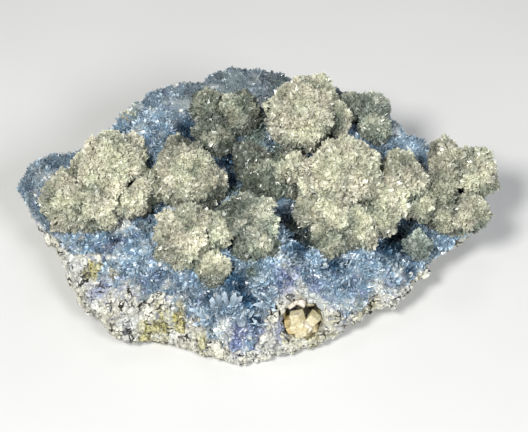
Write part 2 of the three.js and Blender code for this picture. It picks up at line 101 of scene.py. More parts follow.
# The balls' lobes, with the low growths that join them up: x, y, z and radius.
BALLS = {
    "left_ball_cluster": [
        (-28.6, 6.0, 18.8, 6.9), (-27.4, 10.5, 18.8, 4.8), (-25.0, 2.4, 16.8, 4.2), (-36.4, 2.4, 15.4, 5.6),
        (-31.0, 0.0, 16.2, 4.3),
    ],
    "left_middle_ball": [
        (-14.3, 6.0, 18.6, 5.9), (-15.6, 9.6, 18.4, 4.0), (-11.2, 4.4, 17.4, 4.2), (-20.5, 5.6, 15.4, 2.8),
    ],
    "lower_left_ball": [(-14.4, -7.8, 17.4, 5.6), (-10.0, -6.7, 17.0, 3.9), (-9.4, -12.6, 13.9, 3.0)],
    "centre_ball": [(-2.8, -3.2, 17.4, 4.6), (-1.2, -7.6, 15.6, 3.8)],
    "back_left_cluster": [(-5.0, 18.8, 21.2, 3.9), (-9.3, 15.8, 18.6, 3.6), (-10.8, 21.0, 20.6, 3.2)],
    "top_ball": [
        (7.0, 16.0, 23.8, 6.6), (9.6, 20.4, 24.2, 4.2), (12.8, 17.0, 22.0, 3.9), (15.8, 20.8, 21.2, 2.7),
    ],
    "back_right_ball": [(20.4, 21.2, 20.6, 3.1), (21.4, 17.4, 19.4, 3.2)],
    "centre_back_cluster": [(-2.6, 11.0, 16.2, 3.3), (0.2, 5.6, 16.8, 4.3), (4.9, 6.6, 17.8, 4.1)],
    "right_ball_cluster": [
        (15.2, 4.0, 20.8, 7.0), (10.4, 3.6, 18.6, 3.9), (14.4, -2.8, 17.4, 4.3), (17.6, -5.6, 16.0, 3.4),
        (25.4, 5.4, 18.3, 4.6), (22.4, 0.6, 17.8, 4.8), (12.4, -7.6, 14.6, 2.3), (8.8, -0.6, 15.2, 3.3),
        (11.2, -5.4, 14.6, 2.6), (21.8, -2.4, 15.8, 3.4),
    ],
    "right_end_cluster": [
        (39.8, 7.4, 17.0, 4.4), (35.0, 8.8, 17.4, 4.0), (33.9, 12.6, 17.3, 2.4), (33.0, 4.2, 15.6, 3.6),
        (38.2, -0.4, 14.4, 3.9), (34.1, -0.6, 13.6, 3.1), (29.8, 0.8, 15.0, 2.7),
    ],
    "small_front_ball": [(28.6, -5.6, 11.8, 2.4)],
}
# How each ball looks: how greenish grey it is, how bright, how bluish, how uneven in brightness,
# and the name of its finish.
BALL_LOOKS = {
    "left_ball_cluster": (0.05, 0.99, 0, 0.12, "cream_crystals"),
    "left_middle_ball": (0.2, 0.93, 0, 0.12, "cream_crystals"),
    "lower_left_ball": (0.15, 0.99, 0, 0.12, "cream_crystals"),
    "centre_ball": (0.55, 0.91, 0.15, 0.12, "cream_crystals"),
    "back_left_cluster": (0.8, 0.71, 0, 0.7, "grey_green_crystals"),
    "top_ball": (0.12, 0.92, 0, 0.12, "cream_crystals"),
    "back_right_ball": (0.75, 0.88, 0.2, 0.12, "grey_green_crystals"),
    "centre_back_cluster": (0.95, 0.7, 0, 0.45, "grey_green_crystals"),
    "right_ball_cluster": (0.08, 0.99, 0, 0.12, "cream_crystals"),
    "right_end_cluster": (0.35, 0.79, 0, 0.12, "cream_crystals"),
    "small_front_ball": (0.9, 0.9, 0.6, 0.4, "cream_crystals"),
}
# Places where the balls are brighter or darker and greener: x, y, z, radius, and how much.
# Their brightening and darkening is partly painted light and shade, partly the balls' own uneven colour.
BALL_SHADE_AND_COLOUR_SPOTS = [
    (-39.5, 2.5, 18.5, 4, -0.34, 0.4), (-34.8, 6.5, 21, 3, -0.15, 0.1), (-26.6, 9.7, 24.3, 3, -0.32, 0.35),
    (-30.7, -5.2, 15, 3, -0.2, 0.4), (-26.6, -1.2, 18.2, 2.8, 0.45, -0.3),
    (-14.3, 11, 22.8, 3.2, -0.75, 0.5), (-18.4, 5.6, 22.8, 3, -0.4, 0.2),
    (-18.4, 2.2, 20.4, 2.5, 0.35, -0.2), (-14.3, -4.2, 21.7, 2.5, -0.3, 0.3),
    (-18.8, -9.2, 19.6, 3.5, -0.35, 0.2), (-10.2, -10.8, 17.7, 3, 0.45, -0.4),
    (-9.4, -15.2, 12.8, 2.6, -0.25, 0.4), (-6.1, -3.2, 20.6, 3, -0.75, 0.5), (2, -5.7, 17.2, 3, 0.6, -0.1),
    (-5, 16.5, 25, 2.5, 0.2, -0.3), (-2, 16.6, 22.4, 3, -0.25, 0.1), (-6.1, 12.6, 17.6, 3.5, -0.25, 0.1),
    (-2, 8.5, 19.3, 3, -0.4, 0.1), (-2, 3.1, 19.4, 3, -0.42, 0.1), (2.4, 7.4, 20.6, 2.6, 0.8, -0.5),
    (3, 4, 20.4, 2.8, 0.35, -0.4), (2, 17.3, 28, 3, -0.15, 0.2), (6.1, 9.5, 24.5, 3, 0.35, -0.2),
    (14.3, 14.7, 24.7, 4, -0.12, 0.2), (16.6, 20.1, 23.7, 2.6, -0.25, 0.8), (18.4, 18.4, 20.3, 2.5, 0.2, 0),
    (14.3, 7.6, 26, 3, -0.1, 0.1), (18.4, 9, 25, 3.5, -0.15, 0.2), (18.4, 1, 26, 4, -0.14, 0),
    (22.5, 6.1, 22.5, 3.5, -0.22, 0.2), (27, 6.5, 22, 3, -0.2, 0.2), (26.6, -1.5, 18.5, 2.5, 0.3, -0.2),
    (10.6, -1.6, 18.5, 3, 0.5, -0.3), (8.8, -1.6, 15.2, 3, -0.3, 0.7), (9.7, -7.8, 14.4, 3.2, -0.12, 0.5),
    (14.3, -8.8, 14.5, 3.5, -0.2, 0.5), (38.9, 3.5, 18.9, 3.6, 0.35, -0.4),
    (34.8, 0.8, 16.5, 2.2, -0.2, 0.3), (38.9, -1.4, 17.4, 3, -0.15, 0), (36.5, -3.5, 15, 3, 0.3, -0.3),
    (38.9, 4.5, 19.5, 3, 0.15, 0), (7, 14, 29, 3.5, -0.12, 0.1), (26.6, 5.9, 22.7, 3, -0.2, 0.2),
    (-30.7, -1.5, 19, 3, -0.14, 0.1), (-6.1, -8, 15.5, 2.5, -0.3, 0.3), (-10.4, -13.6, 14, 2.6, -0.2, 0.3),
    (-13.5, -9.5, 19.5, 2.5, -0.15, 0.1),
]

# Patches of colour on the slab: x, y, radius and strength.
# Deeper, darker blue: partly the crust's own colour and partly painted shade in its hollows and under the
# balls.
DEEP_BLUE_AND_SHADE = [
    (-14.7, 17, 3.5, 0.9), (-6.1, 12.9, 4, 0.9), (-20.3, 2.5, 3.5, 0.8), (-22.7, -1.7, 3, 0.6),
    (6.8, -1.6, 5, 1), (13, -11.4, 3, 0.8), (25.6, -1.5, 4.5, 1), (-5.8, -14.5, 3, 0.8),
    (-2.2, -17.8, 2, 0.9), (-7, 8.1, 4, 0.9), (-9.3, 10.5, 3, 0.7), (-10.5, -14.5, 2.5, 0.4),
    (10, 12, 4, 0.6), (24, 13, 4, 0.5), (-24, -4.5, 3, 0.4), (-3.4, -18, 1.6, 1), (-1.9, -20.2, 1.8, 1),
    (-10, -17, 1.6, 0.8), (-5, -15.6, 2.4, 1), (6.1, -8, 2.6, 1), (22.5, -5.6, 2.6, 1),
    (25.8, -4.6, 2.4, 0.8), (-18.4, -12.9, 2.6, 0.6), (-14.3, -13, 2.6, 0.5), (26.8, -9.5, 2.2, 0.7),
]
VIOLET = [
    (16.8, 18.6, 3, 0.5), (-4.4, -22.6, 2, 1), (-1.5, -21, 2, 1), (-27.5, -6.2, 2.5, 0.7),
    (-26.4, -13.5, 2.6, 0.5), (12.1, -9.8, 3, 0.6), (4.2, -14.2, 3, 0.8), (-30.2, -13.6, 2.5, 0.8),
    (-35.6, 5, 2.5, 0.8), (16.7, -13.9, 2.5, 0.5), (9, -14.6, 2.5, 0.6), (3, -20.8, 1.8, 0.9),
    (-25, -21.2, 1.2, 0.9), (0.5, -5, 2, 0.5), (-20, -13.5, 2.5, 0.5), (14, -19, 2.2, 0.5),
    (26, -12, 2.2, 0.4),
]
WHITISH = [
    (-7.1, -21, 2, 0.65), (6.6, -16, 3, 0.7), (1.1, -17.3, 1.8, 0.4), (-20, -9.1, 1.2, 0.5),
    (-25, -9.1, 1.4, 0.5), (-38.6, 7.9, 2.5, 0.6), (12.1, -18.6, 3, 0.9), (21.3, -13.3, 1.9, 0.8),
    (-7.5, -23, 3, 0.5), (-26.6, -3.6, 2.2, 0.3), (2.4, -9.2, 2.2, 0.7), (-23.6, -15.6, 1.7, 0.9),
    (-27, -1.8, 2.6, 0.9), (-22.5, 19, 3, 0.15), (9.5, -15.5, 2, 0.5),
]
OCHRE = [
    (-31.8, -10, 1.8, 1), (-27.6, -11.6, 1.5, 0.9), (-19, -19.1, 2.4, 0.9), (-21.8, -20, 1.8, 0.8),
    (-15.7, -18.7, 1.8, 1), (20.3, -15, 2, 0.5), (17.8, -16.5, 1.9, 0.6), (9.4, -20.4, 3, 0.6),
    (5, -21.3, 3, 0.6), (-10.8, -22.1, 2.5, 0.6), (13.2, -18.9, 2.2, 0.5), (-25.6, 20.3, 2.8, 0.7),
]
# Olive on the crust: partly the colour of grey-green crystals and partly painted shade where the balls
# shade it.
OLIVE_AND_SHADE = [
    (8.5, -3, 4, 0.8), (6, -0.5, 3.5, 0.7), (9.5, -6.5, 3, 0.8), (3.5, 11.5, 4, 0.9),
    (-1.7, 15.5, 3.5, 0.9), (1.5, 19, 3, 0.8), (-6.5, 27, 5, 0.5), (3, 26.5, 4, 0.5), (-15, 23, 4, 0.4),
    (-8, 23.5, 3, 0.6), (29.5, 11, 3, 0.6), (30, 5, 2.5, 0.7), (-6, 5.5, 2.5, 0.7), (26.5, -1.2, 3.4, 0.6),
    (-21, 3, 2.2, 0.6), (-9, 13, 2.4, 0.5), (-7.4, -4.5, 1.8, 0.8), (-20, 7, 2, 0.6), (-2.2, -11, 2, 0.5),
    (-2, -13.8, 1.8, 0.8), (-22.4, -2.6, 2.2, 0.5), (-24.5, 20.5, 2.2, 0.6), (-19, 22.5, 2.5, 0.4),
]
# Hollows in the crust that are darkened with painted shade.
SHADED_HOLLOWS = [
    (24.2, -1.6, 2.2, 1), (23.3, -4.2, 2.7, 0.75), (4.3, -0.4, 3.2, 0.9), (6.9, -3.5, 3.4, 0.9),
    (8, -7.2, 2.2, 0.8), (-6.9, 13.3, 2.6, 0.9), (-14.8, 16.6, 2.8, 1), (-12.5, 19.8, 2, 0.4),
    (-10.1, 1.1, 3, 0.8), (-23.6, 5, 2, 0.9), (-27.4, -5.9, 1.2, 0.8), (-20.6, -3, 1.6, 0.6),
]
GREY = [(-25, -19.9, 2, 0.5), (14.9, -18.1, 1.5, 0.6), (-33, -12.5, 2, 0.5), (2, -22, 2.6, 0.5)]
# How ragged the borders of the patches are.
RAGGED_BORDER = 0.45
SOFT_BORDER = 0.3

# How far apart the noise of one seed is from that of the next.
SEED_STEP = 10.0
ROCK_SEED = 11
CRUST_SEED = 7
BALL_SEED = 100
BLOCK_SEED = 3
# How many points are measured at once when the nearest of many centres is looked for.
NEAREST_AT_ONCE = 2000

# A blade has four corners at its foot, four at its shoulder and a tip; a wedge has four at its foot
# and two at its edge. Their faces, how far up each corner is, and their places on the bake's map.
CORNERS = np.array([(-1, -1), (1, -1), (1, 1), (-1, 1)])
BLADE_FACES = [np.array([[0, 1, 5, 4], [1, 2, 6, 5], [2, 3, 7, 6], [3, 0, 4, 7]]),
               np.array([[4, 5, 8], [5, 6, 8], [6, 7, 8], [7, 4, 8]])]
BLADE_ALONG = np.array([0, 0, 0, 0, 0.65, 0.65, 0.65, 0.65, 1.0])
BLADE_PLACES = np.concatenate([0.45 * CORNERS, 0.22 * CORNERS, np.zeros((1, 2))])
BLADE_SHOULDERS = (0.55, 0.82)
BLADE_TIP_SHIFT = 0.38
WEDGE_FACES = [np.array([[0, 1, 5, 4], [2, 3, 4, 5]]), np.array([[1, 2, 5], [3, 0, 4]])]
WEDGE_ALONG = np.array([0, 0, 0, 0, 1.0, 1.0])
WEDGE_PLACES = np.concatenate([0.45 * CORNERS, [(-0.16, 0), (0.16, 0)]])
ROOT_DEPTH = 0.35

# Colours by place on their ramps, or along the blades from the foot to the tip.
ROCK_COLOURS = [(0.3, (0.79, 0.76, 0.62)), (0.5, (0.88, 0.87, 0.78)), (0.7, (0.87, 0.89, 0.88))]
OCHRE_COLOURS = [
    (0.37, (0.07, 0.06, 0.015)), (0.45, (0.43, 0.39, 0.11)),
    (0.56, (0.70, 0.66, 0.31)), (0.68, (0.85, 0.83, 0.60)),
]
ROCK_GREY = (0.42, 0.43, 0.42)
ROCK_VIOLET = (0.27, 0.31, 0.50)
CRACK_COLOUR = (0.03, 0.027, 0.02)
# Painted shade in the creases between the rock's lumps.
CREASE_SHADE_COLOUR = (0.2, 0.19, 0.15)
# Painted shade in the pit and in the small hole beside it, and the dark stain round the pit's rim.
PIT_STAIN_AND_SHADE_COLOUR = (0.045, 0.032, 0.016)
# The crust's own colour first, and then those mixed in where it has the value of that name.
VAUXITE_COLOURS = [
    ("light", (0.0, (0.09, 0.155, 0.225)), (0.5, (0.215, 0.32, 0.415)), (1.0, (0.54, 0.67, 0.77))),
    ("dull", (0.0, (0.12, 0.155, 0.185)), (0.6, (0.21, 0.265, 0.30)), (1.0, (0.38, 0.44, 0.48))),
    ("violet", (0.0, (0.07, 0.08, 0.20)), (0.6, (0.17, 0.20, 0.38)), (1.0, (0.40, 0.44, 0.64))),
    ("whitish", (0.0, (0.46, 0.48, 0.46)), (0.6, (0.68, 0.70, 0.67)), (1.0, (0.86, 0.87, 0.83))),
    # Deep blue, partly painted shade.
    ("deep", (0.0, (0.012, 0.032, 0.06)), (0.6, (0.035, 0.09, 0.155)), (1.0, (0.12, 0.22, 0.33))),
    # Olive, partly painted shade under the balls.
    ("olive", (0.0, (0.075, 0.10, 0.09)), (0.6, (0.165, 0.215, 0.19)), (1.0, (0.33, 0.40, 0.355))),
    ("ochre", (0.0, (0.10, 0.085, 0.03)), (0.6, (0.42, 0.37, 0.19)), (1.0, (0.68, 0.62, 0.42))),
]
VAUXITE_SPECK = 0.18
VAUXITE_IOR = 1.56
CREAM_COLOURS = [(0.0, (0.56, 0.55, 0.42)), (0.5, (0.70, 0.70, 0.56)), (1.0, (0.82, 0.82, 0.69))]
GREEN_COLOURS = [(0.0, (0.18, 0.21, 0.17)), (0.5, (0.285, 0.33, 0.275)), (1.0, (0.44, 0.49, 0.425))]
PALE_TINTS = [(0.4, (1.0, 0.965, 0.95)), (0.6, (0.985, 1.0, 0.94))]
PALE_BLUE = (0.72, 0.86, 1.0)
PALE_SPECK = 0.17
PALE_IOR = 1.54
BUFF_COLOURS = [(0.3, (0.62, 0.51, 0.27)), (0.45, (0.76, 0.69, 0.47)), (0.6, (0.79, 0.75, 0.55))]
BUFF_YELLOW = (0.62, 0.46, 0.17)
BUFF_PALE = (0.80, 0.73, 0.62)
BUFF_BURNT = (0.08, 0.05, 0.02)
FLOOR_COLOURS = [(0.3, (0.70, 0.70, 0.69)), (0.7, (0.74, 0.74, 0.73))]

# The rock: its spokes and rings, how much denser the spokes are in front, how far it goes on under
# the crust's edge, and how deep it lies there.
ROCK_SPOKES = 620
ROCK_RINGS = 64
ROCK_STEPS = 90
HIDDEN_RINGS = 13
BASE_RINGS = 4
FRONT_CROWDING = -0.35
CRUST_LAP = 0.07
HIDDEN_DEPTH = 1.3
ROCK_DISC = ((0.35, 0.65), 0.34)
BASE_DISC = ((0.85, 0.15), 0.14)
# Its grains and nodules: how many, the least and the largest radius, how fine their mesh is, how
# strong their violet is, and the corners of their part of the bake's map.
ROCK_GRAINS = [
    (1300, 0.18, 0.42, 1, 0.5, ((0.71, 0.3), (0.99, 0.62))),
    (130, 0.5, 1.35, 2, 0.15, ((0.71, 0.64), (0.99, 0.99))),
]

# The crust: its sheet, how far apart its domes and its bundles of blades are, how many blades and
# grains it has, and the parts of the bake's map that each kind takes.
CRUST_SPOKES = 250
CRUST_RINGS = 50
UNDER_RINGS = 12
CRUST_DEPTH = 1.5
ROSETTE_SPACING = 3.1
BUNDLE_SPACING = 1.15
CRUST_BLADES = 19500
POINTED_BLADES = 5000
GRAIN_TRIES = 9000
CRUST_GRAINS = 900
CRUST_DISC = ((0.16, 0.84), 0.155)
UNDER_DISC = ((0.5, 0.84), 0.155)
WEDGE_CELLS = ((0.0, 0.0), (1.0, 0.46))
BLADE_CELLS = ((0.0, 0.46), (1.0, 0.68))
LATH_CELLS = ((0.67, 0.69), (0.82, 0.83))
FAN_CELLS = ((0.82, 0.69), (0.99, 0.83))
GRAIN_CELLS = ((0.67, 0.84), (0.99, 0.99))
# Long blades that are clear to see at the front: x, y and z of the foot, the lean in degrees to
# the right of straight up as seen from the front and above, the length and the width.
LATHS = [
    (-8.9, -19, 9.6, -14, 2.8, 1.3), (-7.7, -19.2, 10.1, -13, 3.6, 1.45),
    (-6.6, -18.8, 10.6, -16, 3.3, 1.25), (-6.1, -19.2, 10.5, 23, 3.4, 1.6),
    (-5.6, -19, 10.9, 40, 2.8, 1.35), (-8.4, -19.6, 9.4, -36, 2.2, 1), (-5, -19.9, 9.6, 150, 3, 1.8),
    (1.4, -17.9, 10, -86, 3.8, 0.7), (1.2, -18.3, 9.7, -80, 3.6, 0.7), (1, -18.7, 9.4, -72, 3.2, 0.6),
    (0.4, -17.4, 10.4, -64, 3.2, 0.7), (0.9, -19.2, 8.8, -95, 3, 0.7), (1.6, -17.4, 10.4, -55, 3, 0.7),
    (-10.6, -19.6, 8, -60, 2.2, 0.9), (-11.4, -20, 7.2, -110, 2, 0.9), (-10, -20.4, 7.2, -85, 2, 0.9),
]
LATH_WIDTH = 0.82
# Fans of smaller ones: x, y and z of the foot, how many, and their length.
LATH_FANS = [
    (-12.6, -17.6, 9.2, 7, 1.9), (-14.5, -15.6, 11, 7, 1.9), (-3.2, -20.6, 8.6, 7, 2.2),
    (-1.4, -21, 8, 6, 1.9), (-8, -20.8, 7.4, 6, 2), (4.2, -12.6, 13.2, 6, 1.8), (10, -11.4, 12.8, 6, 1.8),
    (15, -10.5, 12.6, 6, 1.9), (19, -9.4, 12, 6, 1.8),
]

# The balls: the area that each blade has, how far off and how much a lobe swells towards what it
# touches, and how far apart its heads and its buds are.
BLADE_AREA = 0.058
SEAM_REACH = 2.8
SEAM_SWELL = 1.25
CORE_DETAIL = 3
HEAD_SPACING = 3.6
BUD_SPACING = 1.9
BALL_CELLS = ((0.0, 0.0), (1.0, 0.82))

# The buff blocks: right, up and out from the pit's middle, half sizes, and turn in degrees.
BLOCKS = [
    (-0.95, 0.1, 0.8, 1.2, 1.3, 1.2, 33), (-0.1, -2.1, 0.4, 1.7, 1.15, 1.3, -12),
    (2.1, -0.2, -0.1, 1.15, 1.1, 1.3, -38), (-2.5, -0.9, -0.5, 0.75, 1.05, 1.1, 12),
    (-2.1, -2.3, -0.2, 0.7, 0.85, 1.1, 25), (2.2, -2.2, -0.5, 0.8, 0.75, 1, 20),
    (1, -1.5, 0.7, 0.95, 0.75, 0.9, -30), (-0.3, -1.1, 0.9, 0.9, 0.75, 0.9, 20),
    (-1.4, -1.7, 0.4, 0.75, 0.7, 0.8, -5), (-2, 2.65, 0.4, 0.8, 0.45, 0.8, 16),
    (0, 3, 0.3, 0.85, 0.75, 0.8, -22), (1.6, 2.6, -1.3, 0.9, 0.7, 0.7, 10),
    (1.2, -3.1, -0.5, 0.8, 0.6, 1, 15), (-0.6, -3.2, -0.3, 0.9, 0.6, 1, -10),
    (-3.3, 0.4, -1, 0.45, 0.8, 0.9, 5), (-1, 3, -0.2, 0.6, 0.4, 0.7, 40),
]
PALE_BLOCKS = (6, 9, 10, 15)
YELLOW_BLOCKS = (3, 4, 12, 14)

# The floor, the lights (name, place, size, power and colour), the world and the camera, in metres.
FLOOR_SIZE = 6
LIGHTS = [
    ("key", (-0.15, -0.22, 0.39), 0.12, 1.85, (1.0, 0.99, 0.96)),
    ("fill", (0.22, -0.27, 0.33), 0.18, 1.2, (0.96, 0.98, 1.0)),
    ("top", (0.05, 0.2, 0.4), 0.12, 0.15, (1, 1, 1)),
]
LIGHT_AIM = (0, 0, 0.012)
WORLD_COLOUR = (0.9, 0.95, 1.0)
WORLD_STRENGTH = 0.15
CAMERA_ELEVATION = 50
CAMERA_DISTANCE = 0.328
CAMERA_TARGET = (0, -0.0004, 0.014)
CAMERA_LENS = 120


# Random numbers and noise

def noise_at(points, size, seed):
    """Smooth noise from about -1 to 1 at each point, in waves of about this size."""
    return np.array([noise.noise(Vector(p)) for p in points / size + SEED_STEP * seed])


def cells_at(points, size, seed):
    """How far each point is from the nearest cell's middle, and how much farther from the next."""
    found = np.array([noise.voronoi(Vector(p))[0][:2] for p in points / size + SEED_STEP * seed])
    return found[:, 0], found[:, 1] - found[:, 0]


def smooth_step(values, low, high):
    """From 0 at low to 1 at high, with soft ends."""
    share = np.clip((values - low) / (high - low), 0, 1)
    return share * share * (3 - 2 * share)


def specks(points, size, seed, low, high, more=0):
    """Specks where the noise is above low, full from high on; there are more of them by more."""
    return smooth_step(noise_at(points, size, seed) + more, low, high)


def unit(vectors):
    return vectors / np.maximum(np.linalg.norm(vectors, axis=-1, keepdims=True), 1e-9)


def bell(points, centre, radius):
    """1 at the centre and less with distance, by the coordinates that the centre has."""
    apart = ((points[:, :len(centre)] - centre) ** 2).sum(1)
    return np.exp(-apart / radius ** 2)


def patches(points, spots, seed, ragged=RAGGED_BORDER):
    """How strongly the patches of colour show at each point, with ragged borders."""
    total = ragged * noise_at(points, 2.2, seed) + 0.5 * ragged * noise_at(points, 0.9, seed + 1)
    reach = np.zeros(len(points))
    for *place, radius, strength in spots:
        reach = np.maximum(reach, strength * bell(points, place, radius))
    return smooth_step(reach + total * np.sqrt(reach), 0.25, 0.8)


def ochre_at(points):
    """How ochre the slab is at each point; at the back only high up."""
    back = smooth_step(points[:, 1], 5, 10) * (1 - smooth_step(points[:, 2], 12.5, 16.5))
    return patches(points, OCHRE, 8) * (1 - back)


# The slab's form

def spokes(count):
    """Directions evenly round the slab's centre."""
    return np.arange(count) * 2 * math.pi / count


def around(pairs, angle):
    """The value at each angle, from pairs of degrees and value that go once round."""
    degrees, values = zip(*pairs)
    return np.interp(np.degrees(angle), degrees, values, period=360)


def waves_round(angle, waves):
    return sum(size * np.sin(count * angle + start) for count, start, size in waves)


RIM_RADII = [
    (math.degrees(math.atan2(y - SLAB_CENTRE[1], x - SLAB_CENTRE[0])),
     math.hypot(x - SLAB_CENTRE[0], y - SLAB_CENTRE[1]))
    for x, y in RIM_OUTLINE
]


def ground_height(x, y):
    height = GROUND_HEIGHT + BACK_RISE * np.maximum(0, y) - END_FALL * x * x
    for mound_x, mound_y, radius, rise in MOUNDS:
        height = height + rise * np.exp(-((x - mound_x) ** 2 + (y - mound_y) ** 2) / radius ** 2)
    return height


def shoulder_drop(angle, reach):
    way = np.maximum(0, reach - SHOULDER_START) / (1 - SHOULDER_START)
    return (BACK_DROP + FRONT_DROP * np.maximum(0, -np.sin(angle))) * way ** SHOULDER_POWER


def slab_points(angle, reach, depth=0.0):
    """Points of the slab: reach is 0 at the top's middle, 1 at the rim and 2 at the base's edge."""
    down = np.maximum(0, reach - 1)
    undercut = (
        RIGHT_UNDERCUT * np.maximum(0, np.cos(angle)) ** 2
        + LEFT_UNDERCUT * np.maximum(0, -np.cos(angle)) ** 2
        + BACK_UNDERCUT * np.maximum(0, np.sin(angle)) ** 2
    )
    wide = np.minimum(1, reach) * (1 - undercut * down ** 2 + SIDE_BULGE * np.sin(math.pi * down))
    x = SLAB_CENTRE[0] + np.cos(angle) * around(RIM_RADII, angle) * wide
    y = SLAB_CENTRE[1] + np.sin(angle) * around(RIM_RADII, angle) * wide
    z = (ground_height(x, y) - shoulder_drop(angle, np.minimum(1, reach))) * (1 - down)
    tilt = smooth_step(reach, SHOULDER_START, SIDE_START) * math.pi / 2
    normal = np.stack([np.cos(angle) * np.sin(tilt), np.sin(angle) * np.sin(tilt), np.cos(tilt)], -1)
    return np.stack([x, y, z], -1) - normal * np.expand_dims(depth + 0 * x, -1)


def from_centre(x, y):
    """The direction of points in plan from the slab's centre, and their share of the way to the rim."""
    angle = np.arctan2(y - SLAB_CENTRE[1], x - SLAB_CENTRE[0])
    return angle, np.hypot(x - SLAB_CENTRE[0], y - SLAB_CENTRE[1]) / around(RIM_RADII, angle)


def height_above(points):
    """How far points are above the slab's top, or far above it beside the slab."""
    angle, reach = from_centre(points[:, 0], points[:, 1])
    top = ground_height(points[:, 0], points[:, 1]) - shoulder_drop(angle, reach)
    return points[:, 2] - np.where(reach > 1, -100, top)


def crust_edge(angle):
    ragged = CRUST_EDGE_RAGGEDNESS * (1 + 1.4 * np.maximum(0, np.sin(angle)))
    waved = around(CRUST_EDGE, angle) + ragged * waves_round(angle, CRUST_EDGE_WAVES)
    return waved + waves_round(angle, CRUST_EDGE_TEETH)


# Meshes

class Piece:
    """Points, faces, places on the bake's map and values of one piece."""

    def __init__(self):
        self.points = []
        self.faces = []
        self.places = []
        self.values = []
        self.smooth = []
        self.count = 0

    def add(self, points, faces, places, smooth, **values):
        """Adds points, groups of like faces, and places and values of the points."""
        points = points.reshape(-1, 3)
        self.points.append(points)
        self.places.append(places.reshape(-1, 2))
        self.values.append({name: value + np.zeros(len(points)) for name, value in values.items()})
        for group in faces:
            self.faces.append(group + self.count)
            self.smooth.append(np.full(len(group), smooth))
        self.count += len(points)

    def add_copies(self, points, faces, shape, cells, smooth, **values):
        """Adds like parts, each with its points, the same faces, and a cell of its own on the map."""
        count, each = points.shape[:2]
        start = (np.arange(count) * each)[:, None, None]
        groups = [(group[None] + start).reshape(-1, group.shape[1]) for group in faces]
        for name, value in values.items():
            if np.ndim(value) < 2:
                value = np.reshape(value, (-1, 1))
            values[name] = (value + np.zeros((count, each))).ravel()
        self.add(points, groups, cell_places(count, shape, *cells), smooth, **values)

    def mesh(self, name):
        corners = np.concatenate([group.ravel() for group in self.faces])
        sizes = np.concatenate([np.full(len(group), group.shape[1]) for group in self.faces])
        mesh = bpy.data.meshes.new(name)
        mesh.vertices.add(self.count)
        mesh.vertices.foreach_set("co", (np.concatenate(self.points) * MM).ravel())
        mesh.loops.add(len(corners))
        mesh.loops.foreach_set("vertex_index", corners)
        mesh.polygons.add(len(sizes))
        mesh.polygons.foreach_set("loop_start", np.cumsum(sizes) - sizes)
        mesh.polygons.foreach_set("use_smooth", np.concatenate(self.smooth))
        mesh.update(calc_edges=True)
        layer = mesh.uv_layers.new(name="OFBake")
        layer.uv.foreach_set("vector", np.concatenate(self.places)[corners].ravel())
        for value_name in sorted({key for values in self.values for key in values}):
            found = [
                values.get(value_name, np.zeros(len(part)))
                for values, part in zip(self.values, self.points)
            ]
            attribute = mesh.attributes.new(value_name, "FLOAT", "POINT")
            attribute.data.foreach_set("value", np.concatenate(found))
        return mesh


def place_piece(piece, name, node, material):
    obj = bpy.data.objects.new(name, piece.mesh(name))
    obj.data.materials.append(material)
    bpy.context.scene.collection.objects.link(obj)
    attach(obj, "root")
    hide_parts(node)


def ring_faces(rings, around_count):
    """Faces between rings of points that each go once round, the first ring on top or outside."""
    ring, step = np.meshgrid(np.arange(rings - 1), np.arange(around_count), indexing="ij")
    start = ring * around_count
    after = (step + 1) % around_count
    quads = np.stack([start + step, start + around_count + step,
                      start + around_count + after, start + after], -1)
    return quads.reshape(-1, 4)


def triangles_of(faces):
    """The triangles of four-cornered faces."""
    return np.concatenate([faces[:, :3], faces[:, [0, 2, 3]]])


def vertex_normals(points, faces):
    triangles = triangles_of(faces)
    a, b, c = (points[triangles[:, i]] for i in range(3))
    normals = np.zeros_like(points)
    for i in range(3):
        np.add.at(normals, triangles[:, i], np.cross(b - a, c - a))
    return unit(normals)


def scatter(points, faces, normals, count, rng):
    """Random places on the faces, evenly by area, with the smooth normal there."""
    triangles = triangles_of(faces)
    a, b, c = (points[triangles[:, i]] for i in range(3))
    area = np.linalg.norm(np.cross(b - a, c - a), axis=1)
    chosen = rng.choice(len(triangles), count, p=area / area.sum())
    u, v = rng.random(count), rng.random(count)
    u, v = np.where(u + v > 1, 1 - u, u), np.where(u + v > 1, 1 - v, v)
    parts = np.stack([1 - u - v, u, v], 1)[:, :, None]
    corners = triangles[chosen]
    return (points[corners] * parts).sum(1), unit((normals[corners] * parts).sum(1))


def spread_out(points, spacing, rng):
    """Some of these points, no two nearer than the spacing."""
    kept = np.empty((0, 3))
    for point in points[rng.permutation(len(points))]:
        if len(kept) == 0 or ((kept - point) ** 2).sum(1).min() > spacing ** 2:
            kept = np.vstack([kept, point])
    return kept


def nearest(points, centres):
    """The number of each point's nearest centre, and its distance."""
    number, distance = np.empty(len(points), int), np.empty(len(points))
    for start in range(0, len(points), NEAREST_AT_ONCE):
        part = slice(start, start + NEAREST_AT_ONCE)
        apart = np.linalg.norm(points[part][:, None] - centres[None], axis=2)
        number[part] = apart.argmin(1)
        distance[part] = apart.min(1)
    return number, distance


# Places on the bake's map

def cell_places(count, shape, low, high):
    """Places for a number of like parts that each have a cell between the low and high corners."""
    width, height = high[0] - low[0], high[1] - low[1]
    columns = max(1, math.ceil(math.sqrt(count * width / height)))
    rows = math.ceil(count / columns)
    column, row = np.arange(count) % columns, np.arange(count) // columns
    middle = np.stack([low[0] + (column + 0.5) * width / columns,
                       low[1] + (row + 0.5) * height / rows], 1)
    size = np.array([width / columns, height / rows])
    return middle[:, None] + shape[None] * size


def disc_places(angle, radius, middle, half):
    """Places on a disc, for directions and shares of its radius."""
    return np.stack([middle[0] + half * radius * np.cos(angle),
                     middle[1] + half * radius * np.sin(angle)], -1)


